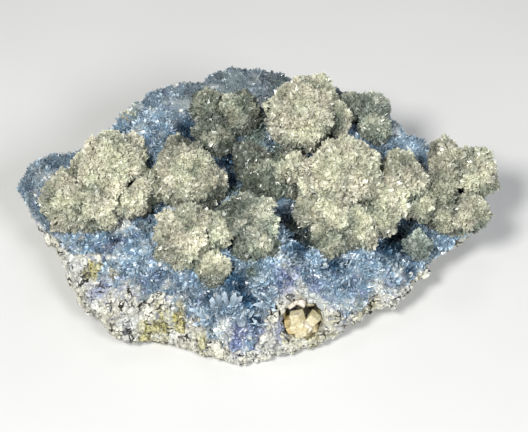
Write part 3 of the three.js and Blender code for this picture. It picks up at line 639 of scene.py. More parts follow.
def folded_places(directions, low, size):
    """Places for directions: a sphere folded into a square."""
    share = directions / np.abs(directions).sum(1, keepdims=True)
    x, y = share[:, 0], share[:, 1]
    folded_x = (1 - np.abs(y)) * np.where(x < 0, -1, 1)
    folded_y = (1 - np.abs(x)) * np.where(y < 0, -1, 1)
    below = directions[:, 2] < 0
    found = np.stack([np.where(below, folded_x, x), np.where(below, folded_y, y)], 1)
    return np.array(low) + size * (0.5 + 0.48 * found)


# Blades and grains

def sideways(axes, turn):
    """Two directions across each axis, turned round it."""
    helper = np.where(np.abs(axes[:, 2:]) > 0.9, RIGHT, UP)
    first = unit(np.cross(axes, helper))
    second = np.cross(axes, first)
    side = first * np.cos(turn)[:, None] + second * np.sin(turn)[:, None]
    return side, np.cross(axes, side)


def moved(points, *steps):
    """The points, moved along each direction by its lengths."""
    for directions, lengths in steps:
        points = points + directions * lengths[:, None]
    return points


def add_blades(piece, roots, axes, turn, length, width, thickness, rng, cells, skew=0.12, **values):
    """Pointed blades that stand on their roots, each with a tip that is slanted its own way."""
    count = len(roots)
    side, flat = sideways(axes, turn)
    shoulder = rng.uniform(*BLADE_SHOULDERS, count)
    slants = rng.uniform(-skew, skew, (2, count))
    feet, shoulders = [], []
    for across, through in CORNERS:
        feet.append(moved(roots, (side, across * 0.34 * width), (flat, through * 0.4 * thickness)))
        high = length * (shoulder + across * slants[0] + through * slants[1])
        shoulders.append(moved(roots, (axes, high), (side, across * 0.5 * width),
                               (flat, through * 0.5 * thickness)))
    tip = rng.uniform(-BLADE_TIP_SHIFT, BLADE_TIP_SHIFT, (2, count)) * (width, thickness)
    point = moved(roots, (axes, length), (side, tip[0]), (flat, tip[1]))
    piece.add_copies(np.stack([*feet, *shoulders, point], 1), BLADE_FACES, BLADE_PLACES, cells, False,
                     along=np.tile(BLADE_ALONG, (count, 1)), **values)


def add_wedges(piece, roots, axes, turn, length, width, thickness, rng, cells, **values):
    """Small blades that end in a sharp slanting edge."""
    count = len(roots)
    side, flat = sideways(axes, turn)
    points = [moved(roots, (side, across * 0.42 * width), (flat, through * 0.5 * thickness))
              for across, through in CORNERS]
    low_end = rng.choice((-1, 1), count)
    for across in (-1, 1):
        high = length * np.where(across == low_end, rng.uniform(0.45, 0.95, count), 1)
        out = across * rng.uniform(0.15, 0.5, count) * width
        shift = rng.uniform(-0.3, 0.3, count) * thickness
        points.append(moved(roots, (axes, high), (side, out), (flat, shift)))
    piece.add_copies(np.stack(points, 1), WEDGE_FACES, WEDGE_PLACES, cells, False,
                     along=np.tile(WEDGE_ALONG, (count, 1)), **values)


def bmesh_arrays(made):
    """The points and faces of a bmesh, which is then freed."""
    points = np.array([vert.co for vert in made.verts])
    faces = np.array([[vert.index for vert in face.verts] for face in made.faces])
    made.free()
    return points, faces


def sorted_triangles(faces):
    """The triangles by their corners' numbers, so that they come in the same order each time."""
    lowest = faces.argmin(1)[:, None]
    turned = np.take_along_axis(faces, (lowest + np.arange(3)) % 3, 1)
    return turned[np.lexsort(turned.T[::-1])]


def sphere_mesh(detail):
    """The points and faces of an even sphere of radius 1."""
    made = bmesh.new()
    bmesh.ops.create_icosphere(made, subdivisions=detail, radius=1)
    return bmesh_arrays(made)


def add_grains(piece, places, up, radius, detail, rng, cells, flatness, **values):
    """Rounded, uneven grains sunk a little into the surface that they sit on."""
    sphere, faces = sphere_mesh(detail)
    count = len(places)
    uneven = 1 + 0.16 * rng.standard_normal((count, len(sphere)))
    stretch = rng.uniform(0.8, 1.25, (count, 1, 3))
    offset = sphere[None] * uneven[:, :, None] * stretch * radius[:, None, None]
    along = (offset * up[:, None]).sum(2, keepdims=True)
    offset = offset + up[:, None] * along * (flatness - 1)
    points = places[:, None] + up[:, None] * (0.1 * radius)[:, None, None] + offset
    shape = folded_places(sphere, (-0.5, -0.5), 1.0)
    piece.add_copies(points, [faces], shape, cells, True, **values)


# Materials

class Nodes:
    """A short way to write a material's nodes."""

    def __init__(self, name):
        self.material = bpy.data.materials.new(name)
        self.material.use_nodes = True
        self.tree = self.material.node_tree
        self.object = self.node("TexCoord", "Object")

    def put(self, socket, value):
        """Links a socket or sets it; a colour is given as red, green and blue."""
        if isinstance(value, bpy.types.NodeSocket):
            self.tree.links.new(value, socket)
        else:
            socket.default_value = (*value, 1) if socket.type == "RGBA" else value

    def node(self, kind, output, *inputs, **settings):
        """The output of a new node with these inputs and settings."""
        made = self.tree.nodes.new("ShaderNode" + kind)
        for name, setting in settings.items():
            setattr(made, name, setting)
        for name, value in inputs:
            self.put(made.inputs[name], value)
        return made.outputs[output]

    def value(self, name):
        return self.node("Attribute", "Fac", attribute_name=name)

    def noise(self, size, detail, roughness=0.5):
        """Noise in waves of this many millimetres."""
        return self.node("TexNoise", "Fac", ("Vector", self.object), ("Scale", 1 / (size * MM)),
                         ("Detail", detail), ("Roughness", roughness))

    def cells(self, size, feature="F1", bend=0.0):
        """Cells of this many millimetres, with borders that are bent this much."""
        place, scale = self.object, ("Scale", 1 / (size * MM))
        if bend:
            waves = self.node("TexNoise", "Color", ("Vector", place), scale)
            place = self.node("VectorMath", 0, (0, waves), (1, (bend * size * MM,) * 3), (2, place),
                              operation="MULTIPLY_ADD")
        return self.node("TexVoronoi", "Distance", ("Vector", place), scale, feature=feature)

    def span(self, value, low, high, to_low=0.0, to_high=1.0):
        """The value, stretched smoothly from one range to another."""
        return self.node("MapRange", "Result", ("Value", value), ("From Min", low), ("From Max", high),
                         ("To Min", to_low), ("To Max", to_high), interpolation_type="SMOOTHSTEP")

    def math(self, operation, *values):
        return self.node("Math", 0, *enumerate(values), operation=operation)

    def mix(self, share, one, other, blend="MIX"):
        return self.node("Mix", 2, (0, share), (6, one), (7, other), data_type="RGBA", blend_type=blend)

    def ramp(self, share, *stops):
        """A colour ramp through stops of place and colour."""
        output = self.node("ValToRGB", 0, (0, share))
        elements = output.node.color_ramp.elements
        while len(elements) < len(stops):
            elements.new(0.5)
        for element, (place, colour) in zip(elements, stops):
            element.position = place
            element.color = (*colour, 1)
        return output

    def scale(self, colour, factor):
        """The colour, made brighter or darker by the factor."""
        return self.node("VectorMath", 0, (0, colour), ("Scale", factor), operation="SCALE")

    def finish(self, colour, roughness, height=None, strength=0.5, distance=0.1, ior=1.5):
        shader = self.tree.nodes["Principled BSDF"].inputs
        self.put(shader["Base Color"], colour)
        shader["Roughness"].default_value = roughness
        shader["IOR"].default_value = ior
        if height is not None:
            bump = self.node("Bump", "Normal", ("Strength", strength), ("Distance", distance * MM),
                             ("Height", height))
            self.put(shader["Normal"], bump)
        return self.material


def rock_material():
    """White to cream rock with stains, cracks and pinholes, and with painted shade in its creases, at its
    small nodules' rims and between its grains.
    """
    n = Nodes("phosphate_rock")
    colour = n.ramp(n.noise(5, 3), *ROCK_COLOURS)
    grain = n.noise(0.35, 4, 0.65)
    colour = n.scale(colour, n.span(grain, 0.3, 0.7, 0.8, 1.08))
    colour = n.mix(n.value("ochre"), colour, n.ramp(n.noise(0.6, 4, 0.6), *OCHRE_COLOURS))
    colour = n.mix(n.value("grey"), colour, ROCK_GREY)
    colour = n.mix(n.value("violet"), colour, ROCK_VIOLET)
    dome = n.span(n.cells(0.85, "F1", 0.4), 0.1, 0.62, 1.0, 0.0)
    # Painted shade: each small nodule is darker towards its rim.
    colour = n.scale(colour, n.span(dome, 0.0, 0.3, 0.78, 1.02))
    width = n.span(n.noise(2.6, 3, 0.6), 0.46, 0.65, -0.04, 0.068)
    width = n.math("MULTIPLY_ADD", n.value("ochre"), 0.025, width)
    wide = n.math("SUBTRACT", n.cells(1.7, "DISTANCE_TO_EDGE", 0.8), width)
    width = n.span(n.noise(2.0, 3, 0.6), 0.5, 0.7, -0.06, 0.1)
    fine = n.math("SUBTRACT", n.cells(0.75, "DISTANCE_TO_EDGE", 0.9), width)
    cracks = n.math("MULTIPLY", n.span(wide, -0.01, 0.03), n.span(fine, -0.01, 0.05, 0.2, 1.0))
    # Painted shade: the rock between the grains is darker than the grains, by an uneven amount.
    shade_between_grains = n.span(n.noise(1.8, 3, 0.6), 0.4, 0.6, 0.8, 1.02)
    colour = n.scale(colour, n.span(n.value("white"), 0.0, 1.0, shade_between_grains, 1.04))
    colour = n.mix(cracks, CRACK_COLOUR, colour)
    colour = n.scale(colour, n.span(n.cells(1.25), 0.1, 0.19, 0.06, 1.0))
    colour = n.scale(colour, n.span(n.cells(0.62), 0.12, 0.24, 0.45, 1.0))
    # Painted shade in the creases between the lumps.
    colour = n.mix(n.value("crack"), colour, CREASE_SHADE_COLOUR)
    # Painted shade in the pit and in the small hole beside it, and a dark stain round the pit's rim.
    colour = n.mix(n.value("burnt"), colour, PIT_STAIN_AND_SHADE_COLOUR)
    height = n.math("ADD", n.math("MULTIPLY", grain, 0.5), n.math("MULTIPLY", cracks, 0.8))
    return n.finish(colour, 0.8, n.math("ADD", height, dome), 0.8, 0.26)


def vauxite_material():
    """Blue blades, paler towards the tips, with the crust's other colours mixed in."""
    n = Nodes("vauxite")
    along = n.value("along")
    colour = n.ramp(along, *VAUXITE_COLOURS[0][1:])
    for name, *stops in VAUXITE_COLOURS[1:]:
        colour = n.mix(n.value(name), colour, n.ramp(along, *stops))
    drift = n.span(n.noise(3.0, 4, 0.6), 0.3, 0.7, 0.7, 1.3)
    speck = n.noise(VAUXITE_SPECK, 1)
    drift = n.math("MULTIPLY", drift, n.span(speck, 0.3, 0.7, 0.76, 1.24))
    colour = n.scale(colour, n.math("MULTIPLY", drift, n.value("tone")))
    return n.finish(colour, 0.2, speck, 0.4, 0.06, VAUXITE_IOR)


def pale_material():
    """Cream blades that pass into greenish grey ones."""
    n = Nodes("pale_blades")
    along = n.value("along")
    cream, green = n.ramp(along, *CREAM_COLOURS), n.ramp(along, *GREEN_COLOURS)
    patch = n.math("ADD", n.value("green"), n.span(n.noise(2.2, 4, 0.6), 0.3, 0.7, -0.3, 0.3))
    colour = n.mix(n.span(patch, 0.0, 1.0), cream, green)
    colour = n.mix(1.0, colour, n.ramp(n.noise(5, 2), *PALE_TINTS), "MULTIPLY")
    colour = n.mix(n.value("blue"), colour, PALE_BLUE, "MULTIPLY")
    speck = n.noise(PALE_SPECK, 1)
    colour = n.scale(colour, n.math("MULTIPLY", n.span(speck, 0.3, 0.7, 0.8, 1.18), n.value("tone")))
    return n.finish(colour, 0.2, speck, 0.4, 0.06, PALE_IOR)


def buff_material():
    n = Nodes("buff_blocks")
    colour = n.ramp(n.noise(1.4, 4), *BUFF_COLOURS)
    colour = n.mix(n.value("yellow"), colour, BUFF_YELLOW)
    colour = n.mix(n.value("pale"), colour, BUFF_PALE)
    colour = n.scale(colour, n.span(n.noise(0.4, 3), 0.3, 0.7, 0.72, 1.04))
    colour = n.mix(n.value("burnt"), colour, BUFF_BURNT)
    return n.finish(colour, 0.42, n.noise(0.5, 3), 0.4, 0.12)


# The rock

def rock_rings():
    """Angles and reaches of the bare rock's rings, evenly spaced along each spoke."""
    angle = spokes(ROCK_SPOKES)
    angle = angle + FRONT_CROWDING * np.cos(angle)
    edge = crust_edge(angle)
    share = np.linspace(0, 1, ROCK_STEPS)[:, None]
    reach = (edge - CRUST_LAP) * (1 - share) + 2 * share
    length = np.linalg.norm(np.diff(slab_points(angle, reach), axis=0), axis=2)
    length = np.concatenate([np.zeros((1, ROCK_SPOKES)), np.cumsum(length, 0)])
    wanted = np.linspace(0, 1, ROCK_RINGS)
    found = [np.interp(wanted * length[-1, i], length[:, i], reach[:, i]) for i in range(ROCK_SPOKES)]
    return angle, edge, np.array(found).T


def lumps_at(points, size, seed):
    """Round lumps packed side by side: how high each point stands, from 0 to 1, and the creases between
    them.
    """
    bend = np.stack([noise_at(points, size, seed + i) for i in range(3)], 1)
    near, apart = cells_at(points + 0.25 * size * bend, size, seed)
    dome = np.sqrt(np.clip(1 - (near / 0.85) ** 2, 0, 1))
    return dome * smooth_step(apart, -0.05, 0.3), 1 - smooth_step(apart, 0.03, 0.14)


def rock_piece():
    angle, edge, reach = rock_rings()
    past_edge = reach - edge
    depth = HIDDEN_DEPTH * (1 - smooth_step(past_edge, -0.05, 0.05))
    points = slab_points(angle, reach, depth).reshape(-1, 3)
    past_edge = past_edge.ravel()
    faces = ring_faces(ROCK_RINGS, ROCK_SPOKES)
    bare = smooth_step(past_edge, -0.02, 0.08)
    above_base = smooth_step(points[:, 2], 0.1, 1.6)
    big, big_cracks = lumps_at(points, 2.6, 1)
    small, small_cracks = lumps_at(points, 1.2, 2)
    height = 0.75 * (big - 0.45) + 0.42 * (small - 0.5) + 0.7 * noise_at(points, 7, 3)
    points = points + vertex_normals(points, faces) * (height * bare * above_base)[:, None]
    points[:, 2] = np.maximum(points[:, 2], 0)

    points, burnt, in_pit = carve_pit(points)
    # Painted shade in the creases between the lumps, in places.
    crack = 0.7 * np.maximum(big_cracks, 0.5 * small_cracks) * bare
    piece = Piece()
    places = disc_places(angle, np.linspace(0.12, 1, ROCK_RINGS)[:, None], *ROCK_DISC)
    piece.add(points, [faces], places, True, crack=crack * specks(points, 2.5, 7, -0.2, 0.4),
              burnt=burnt, ochre=np.maximum(ochre_at(points), in_pit),
              grey=patches(points, GREY, 10),
              violet=0.8 * violet_at(points, smooth_step(past_edge, 0.35, 0.0)))
    add_rock_grains(piece, points, faces)
    add_hidden_top(piece, angle, edge, points[:ROCK_SPOKES])
    add_base(piece, angle, points[-ROCK_SPOKES:])
    return piece


def violet_at(points, near_crust):
    """How violet the rock is: in small specks, more of them near the crust, and in patches."""
    small = 0.8 * specks(points, 0.9, 12, 0.53, 0.78, 0.45 * near_crust)
    return np.maximum(small, patches(points, VIOLET, 13))


def carve_pit(points):
    """The points with those inside the pit pushed onto its wall, and how dark and ochre they are: painted
    shade on the pit's upper wall and in the small hole beside it, and a dark stain round its rim.
    """
    offset = points - PIT
    radius = PIT_RADIUS + 0.35 * noise_at(points, 1.5, 4)
    distance = np.linalg.norm(offset, axis=1)
    inside = distance < radius
    along = offset @ PIT_OUT
    push = along + np.sqrt(np.maximum(0, radius ** 2 - distance ** 2 + along ** 2))
    points = points - PIT_OUT * np.where(inside, push, 0)[:, None]
    rim = np.exp(-((distance - radius) / 0.5) ** 2) * specks(points, 1.6, 5, -0.2, 0.25)
    # Painted shade: the pit's upper wall is darkened as if shaded by its rim.
    upper = smooth_step(points @ SEEN_UP - PIT @ SEEN_UP, -0.8, 1.2)
    wall = 0.9 * specks(points, 1.3, 6, -0.45, 0.15)
    burnt = np.where(inside, upper * np.maximum(rim, wall), 0.7 * rim)
    # The small hole is pushed in a little and darkened with painted shade.
    hole = side_hole(points)
    points = points - PIT_OUT * (SIDE_HOLE_DEPTH * hole)[:, None]
    return points, np.maximum(burnt, 0.85 * hole), np.maximum(1.0 * inside, smooth_step(hole, 0.1, 0.4))


def side_hole(points):
    """How far each point is inside the small hole beside the pit, from 0 to 1."""
    offset = points - SIDE_HOLE
    up = offset @ SEEN_UP
    away = np.hypot((offset[:, 0] + 0.35 * up) / SIDE_HOLE_HALF[0], up / SIDE_HOLE_HALF[1])
    ragged = 0.25 * noise_at(points, 0.8, 14)
    return smooth_step(1 - away + ragged, 0.0, 0.45) * (offset @ SEEN_OUT < 3)


def add_rock_grains(piece, points, faces):
    """Small round grains and bigger nodules over the bare rock."""
    rng = np.random.default_rng(ROCK_SEED)
    normals = vertex_normals(points, faces)
    for count, low, high, detail, stain, cells in ROCK_GRAINS:
        places, up = scatter(points, faces, normals, count * 4, rng)
        angle, share = crust_place(places)
        seen = (places[:, 2] > 1.5 * high) & ~near_pit(places, 0.2)
        seen &= share > 1.0 - 0.3 * (places[:, 2] < 4)
        seen &= rng.random(len(places)) < 0.3 + 0.7 * smooth_step(-np.sin(angle), -0.2, 0.3)
        places, up = places[seen][:count], up[seen][:count]
        size = rng.uniform(low, high, len(places))
        add_grains(piece, places, up, size, detail, rng, cells, flatness=0.42, white=1.0,
                   ochre=0.9 * ochre_at(places), grey=0.6 * patches(places, GREY, 10),
                   violet=stain * violet_at(places, 0.2))


def add_hidden_top(piece, angle, edge, outer):
    """The rock under the crust, out to the first ring of the bare rock."""
    share = 1 - (1 - np.linspace(0, 1, HIDDEN_RINGS)[:, None]) ** 2
    points = slab_points(angle, (edge - CRUST_LAP) * share, HIDDEN_DEPTH)
    points[-1] = outer
    points[0] = points[0].mean(0)
    carved, burnt, _ = carve_pit(points.reshape(-1, 3))
    piece.add(carved, [ring_faces(HIDDEN_RINGS, ROCK_SPOKES)],
              disc_places(angle, 0.11 * share, *ROCK_DISC), True, burnt=burnt, ochre=0.5)


def add_base(piece, angle, foot):
    """The flat base inside the foot's ring."""
    share = np.linspace(1, 0, BASE_RINGS)[:, None]
    middle = np.array([*SLAB_CENTRE, 0.0])
    points = (middle + (foot - middle) * share[:, :, None]).reshape(-1, 3)
    points[:, 2] = 0
    piece.add(points, [ring_faces(BASE_RINGS, ROCK_SPOKES)], disc_places(angle, share, *BASE_DISC),
              False, ochre=0.3 * specks(points, 5, 20, 0.0, 0.5))


# The crust

def all_lobes():
    return np.array([lobe for lobes in BALLS.values() for lobe in lobes])


def under_a_ball(points, margin):
    """Which points are inside a ball by at least the margin."""
    hidden = np.zeros(len(points), bool)
    for lobe in all_lobes():
        hidden |= np.linalg.norm(points - lobe[:3], axis=1) < lobe[3] - margin
    return hidden


def near_pit(points, margin):
    offset = (points - PIT) * (0.85, 1, 1)
    return np.linalg.norm(offset, axis=1) < PIT_RADIUS + margin


def outside_pit(points, faces, margin):
    """The faces that are outside the pit's sphere."""
    middle = points[faces].mean(1)
    return faces[np.linalg.norm(middle - PIT, axis=1) > PIT_RADIUS + margin]


def crust_place(points):
    """The direction of points from the slab's centre and their share of the way to the edge."""
    angle, reach = from_centre(points[:, 0], points[:, 1])
    return angle, reach / np.minimum(1, crust_edge(angle))


def crust_values(points, angle, share, relief):
    """How deep blue, violet, whitish, olive, dull and ochre the crust is; the deep blue and the olive are
    partly painted shade, in its low places and hollows and under the balls.
    """
    front = smooth_step(-np.sin(angle), 0.0, 0.5) * smooth_step(share, 0.62, 1.05)
    mixed = 0.55 * noise_at(points, 2.2, 36) + 0.35 * noise_at(points, 0.9, 37)
    whitish = np.maximum(patches(points, WHITISH, 34), smooth_step(mixed + 0.42 * front, 0.35, 0.8))
    whitish = np.maximum(whitish, 0.9 * near_pit(points, 1.2))
    # Where the crust lies low it is deeper and darker blue, partly as painted shade.
    fine = 0.6 * noise_at(points, 2.6, 38) + 0.6 * noise_at(points, 1.0, 39) + 0.45 * relief
    deep = patches(points, DEEP_BLUE_AND_SHADE, 30, SOFT_BORDER)
    sprinkled = specks(points, 1.1, 47, 0.4, 0.7, 0.3 * front)
    violet = np.maximum(0.85 * patches(points, VIOLET, 32), 0.6 * sprinkled)
    back = smooth_step(points[:, 1], 14, 23) * smooth_step(points[:, 0], -30, -12)
    return {
        "deep": np.maximum(deep, 0.6 * smooth_step(-fine, 0.15, 0.75)),
        "violet": violet * ~near_pit(points, 1.0),
        "whitish": np.maximum(whitish, 0.6 * smooth_step(fine, 0.1, 0.8)),
        "olive": patches(points, OLIVE_AND_SHADE, 44, SOFT_BORDER),
        "dull": np.maximum(back, 0.6 * smooth_step(-points[:, 0], 34, 40)),
        "ochre": ochre_at(points) * smooth_step(share, 0.82, 0.98),
    }


def painted_hollow_shade(points):
    """How bright the crust is: darker in the hollows, as painted shade."""
    return 1 - 0.7 * patches(points, SHADED_HOLLOWS, 50, SOFT_BORDER)


def crust_relief(points, rosettes):
    """How high the crust stands at each point, from about -1 to 1."""
    _, distance = nearest(points, rosettes)
    dome = np.clip(1 - (distance / (0.62 * ROSETTE_SPACING)) ** 2, -0.6, 1)
    return 0.6 * dome + 0.6 * noise_at(points, 2.4, 40) + 0.4 * noise_at(points, 5.5, 48)


def crust_piece():
    rng = np.random.default_rng(CRUST_SEED)
    piece = Piece()
    ground, rosettes = add_crust_top(piece, rng)
    add_crust_underside(piece, ground[0][-CRUST_SPOKES:])
    add_crust_blades(piece, ground, rosettes, rng)
    add_laths(piece, rng)
    add_lath_fans(piece, rng)
    add_crust_grains(piece, ground, rosettes, rng)
    return piece


def add_crust_top(piece, rng):
    """The sheet that the blades stand on: its points, faces and normals, and its domes' middles."""
    angle = spokes(CRUST_SPOKES)
    share = np.linspace(0.004, 1, CRUST_RINGS)[:, None]
    reach = crust_edge(angle) * share
    top = slab_points(angle, reach, 0.5 * smooth_step(share, 0.93, 1.0)).reshape(-1, 3)
    angles, shares = (angle + 0 * reach).ravel(), (share + 0 * reach).ravel()
    faces = ring_faces(CRUST_RINGS, CRUST_SPOKES)
    rosettes = spread_out(top[::3], ROSETTE_SPACING, rng)
    relief = crust_relief(top, rosettes)
    height = 0.85 * relief * (1 - smooth_step(shares, 0.88, 1.0))
    top = top + vertex_normals(top, faces) * height[:, None]
    piece.add(top, [outside_pit(top, faces, -0.1)], disc_places(angle, share, *CRUST_DISC), True,
              along=0.2, tone=painted_hollow_shade(top), **crust_values(top, angles, shares, relief))
    return (top, faces, vertex_normals(top, faces)), rosettes


def add_crust_underside(piece, rim):
    angle = spokes(CRUST_SPOKES)
    edge = crust_edge(angle)
    below = slab_points(angle, 0.97 * edge * np.linspace(1, 0, UNDER_RINGS)[:, None], CRUST_DEPTH)
    points = np.concatenate([rim[None], slab_points(angle, edge, 0.9)[None], below])
    places = disc_places(angle, np.linspace(1, 0, len(points))[:, None], *UNDER_DISC)
    faces = ring_faces(len(points), CRUST_SPOKES)
    points = points.reshape(-1, 3)
    piece.add(points, [outside_pit(points, faces, 0.3)], places, True, along=0.1, tone=0.9)


def add_crust_blades(piece, ground, rosettes, rng):
    """Blades that lean out from the domes' middles, in bundles that lean and turn together.

    The first ones are pointed and the rest end in a slanting edge.
    """
    roots, up = scatter(*ground, int(CRUST_BLADES * 1.8), rng)
    seen = ~under_a_ball(roots, 0.6) & ~near_pit(roots, 0.9)
    roots, up = roots[seen][:CRUST_BLADES], up[seen][:CRUST_BLADES]
    count = len(roots)
    lean = (roots - rosettes[nearest(roots, rosettes)[0]]) / ROSETTE_SPACING
    bundles = spread_out(ground[0], BUNDLE_SPACING, rng)
    bundle, _ = nearest(roots, bundles)
    tilt = 0.36 * rng.standard_normal((len(bundles), 3))
    axes = unit(up + 0.9 * lean + tilt[bundle] + 0.36 * rng.standard_normal((count, 3)))
    turn = rng.uniform(0, math.pi, len(bundles))[bundle] + 0.35 * rng.standard_normal(count)
    size = rng.uniform(0.7, 1.3, count) * (1 + 0.35 * noise_at(roots, 6, 42))
    relief = crust_relief(roots, rosettes)
    values = crust_values(roots, *crust_place(roots), relief)
    size *= (1 - 0.3 * values["whitish"]) * (1 - 0.35 * values["dull"])
    # Painted shade: the blades are darker where the crust lies low; the rest of their brightness varies at
    # random.
    tone = rng.uniform(0.55, 1.45, count) * (0.92 + 0.16 * np.clip(relief, -1, 1))
    values["tone"] = tone * painted_hollow_shade(roots)
    small = np.arange(count) >= POINTED_BLADES
    for chosen, add, cells in ((small, add_wedges, WEDGE_CELLS), (~small, add_blades, BLADE_CELLS)):
        part, number = size[chosen], chosen.sum()
        add(piece, (roots - ROOT_DEPTH * axes)[chosen], axes[chosen], turn[chosen], length=1.1 * part,
            width=0.6 * part * rng.uniform(0.6, 1.3, number),
            thickness=0.25 * part * rng.uniform(0.7, 1.3, number), rng=rng, cells=cells,
            **{name: value[chosen] for name, value in values.items()})


def turn_to(axes, wanted):
    """The turn that lays each blade's broad face towards the wanted direction."""
    first, _ = sideways(axes, np.zeros(len(axes)))
    side = np.cross(axes, wanted)
    return np.arctan2((side * np.cross(axes, first)).sum(1), (side * first).sum(1))


def add_laths(piece, rng):
    """The long pale blue blades at the front that are set one by one."""
    listed = np.array(LATHS)
    count = len(listed)
    lean = np.radians(listed[:, 3:4])
    seen = RIGHT * np.sin(lean) + SEEN_UP * np.cos(lean)
    axes = unit(seen + SEEN_OUT * rng.uniform(0.35, 0.6, (count, 1)))
    facing = SEEN_OUT + 0.25 * rng.standard_normal((count, 3))
    width = LATH_WIDTH * listed[:, 5]
    add_blades(piece, listed[:, :3], axes, turn_to(axes, facing), length=listed[:, 4], width=width,
               thickness=0.3 * width, rng=rng, cells=LATH_CELLS, skew=0.06,
               tone=rng.uniform(0.74, 1.04, count), whitish=0.2, violet=0.1)


def add_lath_fans(piece, rng):
    roots, axes, length = [], [], []
    for *foot, count, size in LATH_FANS:
        for _ in range(count):
            axes.append([rng.normal(0, 0.62), rng.normal(-0.3, 0.4), rng.uniform(0.45, 1.0)])
            roots.append(np.array(foot) + 0.5 * rng.standard_normal(3))
            length.append(size * rng.uniform(0.7, 1.25))
    count, length = len(roots), np.array(length)
    add_blades(piece, np.array(roots), unit(np.array(axes)), rng.uniform(0, math.pi, count),
               length=length, width=0.3 * length * rng.uniform(0.8, 1.3, count),
               thickness=0.11 * length, rng=rng, cells=FAN_CELLS, skew=0.08,
               tone=rng.uniform(0.95, 1.25, count), whitish=0.25)


def add_crust_grains(piece, ground, rosettes, rng):
    """Small white grains where the crust is whitish and round the pit."""
    roots, up = scatter(*ground, GRAIN_TRIES, rng)
    angle, share = crust_place(roots)
    whitish = crust_values(roots, angle, share, crust_relief(roots, rosettes))["whitish"]
    chance = 0.35 * whitish ** 2 + 0.5 * near_pit(roots, 1.6)
    seen = (rng.random(len(roots)) < chance) & ~under_a_ball(roots, 0.2) & ~near_pit(roots, -0.3)
    seen &= share > 0.5
    roots, up = roots[seen][:CRUST_GRAINS], up[seen][:CRUST_GRAINS]
    radius = rng.uniform(0.22, 0.62, len(roots))
    add_grains(piece, roots + 0.05 * up, up, radius, 1, rng, GRAIN_CELLS, flatness=0.6, whitish=0.92,
               along=0.7, tone=rng.uniform(0.6, 1.05, len(roots)), olive=0.25 * near_pit(roots, 1.6))


# The balls

def even_directions(count):
    """Directions spread evenly round a sphere."""
    number = np.arange(count) + 0.5
    z = 1 - 2 * number / count
    angle = math.pi * (3 - math.sqrt(5)) * number
    wide = np.sqrt(1 - z * z)
    return np.stack([wide * np.cos(angle), wide * np.sin(angle), z], 1)


def uneven_directions(radius, spacing, rng):
    """Directions about this far apart on a ball of this radius."""
    found = even_directions(max(9, round(4 * math.pi * (radius / spacing) ** 2)))
    return unit(found + 0.3 * spacing / radius * rng.standard_normal(found.shape))


class Lobe:
    """One round part of a ball, with heads and smaller buds that stand out of it."""

    def __init__(self, x, y, z, radius, ball_lobes, rng, seed):
        self.centre = np.array([x, y, z])
        self.radius = radius
        self.seed = seed
        self.heads = uneven_directions(radius, HEAD_SPACING, rng)
        self.head_rise = rng.uniform(0.2, 1.0, len(self.heads))
        self.head_tone = rng.uniform(0.9, 1.08, len(self.heads))
        self.buds = uneven_directions(radius, BUD_SPACING, rng)
        self.bud_rise = rng.uniform(0.1, 1.0, len(self.buds))
        self.bud_tilt = 0.3 * rng.standard_normal((len(self.buds), 3))
        self.others = [
            (lobe[:3], lobe[3], any(np.allclose(lobe, own) for own in ball_lobes))
            for lobe in all_lobes() if np.linalg.norm(lobe[:3] - self.centre) > 0.01
        ]

    def domes(self, directions, middles, spacing):
        """Which middle is the nearest in each direction, and how high its dome stands there."""
        number, apart = nearest(directions, middles)
        return number, np.clip(1 - (apart * self.radius / (0.66 * spacing)) ** 2, -0.5, 1)

    def surface(self, directions):
        """The distance from the middle to the surface in these directions."""
        head, head_dome = self.domes(directions, self.heads, HEAD_SPACING)
        bud, bud_dome = self.domes(directions, self.buds, BUD_SPACING)
        places = directions * self.radius + self.centre
        waves = 0.75 * noise_at(places, 3.4, self.seed) + 0.45 * noise_at(places, 1.3, self.seed + 1)
        share = min(1, self.radius / 4.5)
        heads = 1.5 * self.head_rise[head] * (head_dome - 0.1)
        buds = 0.75 * self.bud_rise[bud] * (bud_dome - 0.1)
        return self.radius * 0.91 - 0.2 + share * (heads + waves + self.swell(places) - 0.5) + buds

    def swell(self, places):
        """How far the surface swells towards the lobes and the ground that it has grown into."""
        most = 0.6 * (1 - smooth_step(np.abs(height_above(places) - 0.5), 0.0, SEAM_REACH))
        for centre, radius, own_ball in self.others:
            if np.linalg.norm(centre - self.centre) < radius + self.radius + SEAM_REACH:
                clear = np.linalg.norm(places - centre, axis=1) - radius
                share = 0.25 if own_ball else 1.0
                most = np.maximum(most, share * (1 - smooth_step(np.abs(clear), 0.0, SEAM_REACH)))
        return SEAM_SWELL * most

    def seam(self, points):
        """How close each point is to another lobe or to the slab, less for its own ball's lobes."""
        seam = 0.8 * smooth_step(2.5 - height_above(points), 0.0, 2.5)
        for centre, radius, own_ball in self.others:
            clear = np.linalg.norm(points - centre, axis=1) - radius
            share = 0.7 if own_ball else 1.0
            seam = np.maximum(seam, share * (1 - smooth_step(clear, 0.0, 2.0)))
        return seam


def hidden_points(points, lobes, own, margin):
    """Which points are inside another lobe of the ball by the margin, or under the slab's top."""
    hidden = height_above(points) < -0.6
    for other in lobes:
        if other is not own:
            hidden |= np.linalg.norm(points - other.centre, axis=1) < other.radius - margin
    return hidden


def ball_shade_and_colour_at(points):
    """How much brighter and greener the balls are at each point; the brightness is partly painted light and
    shade.
    """
    tone, green = np.zeros(len(points)), np.zeros(len(points))
    for *place, radius, brighter, greener in BALL_SHADE_AND_COLOUR_SPOTS:
        near = bell(points, place, radius)
        tone += brighter * near
        green += greener * near
    return tone, green


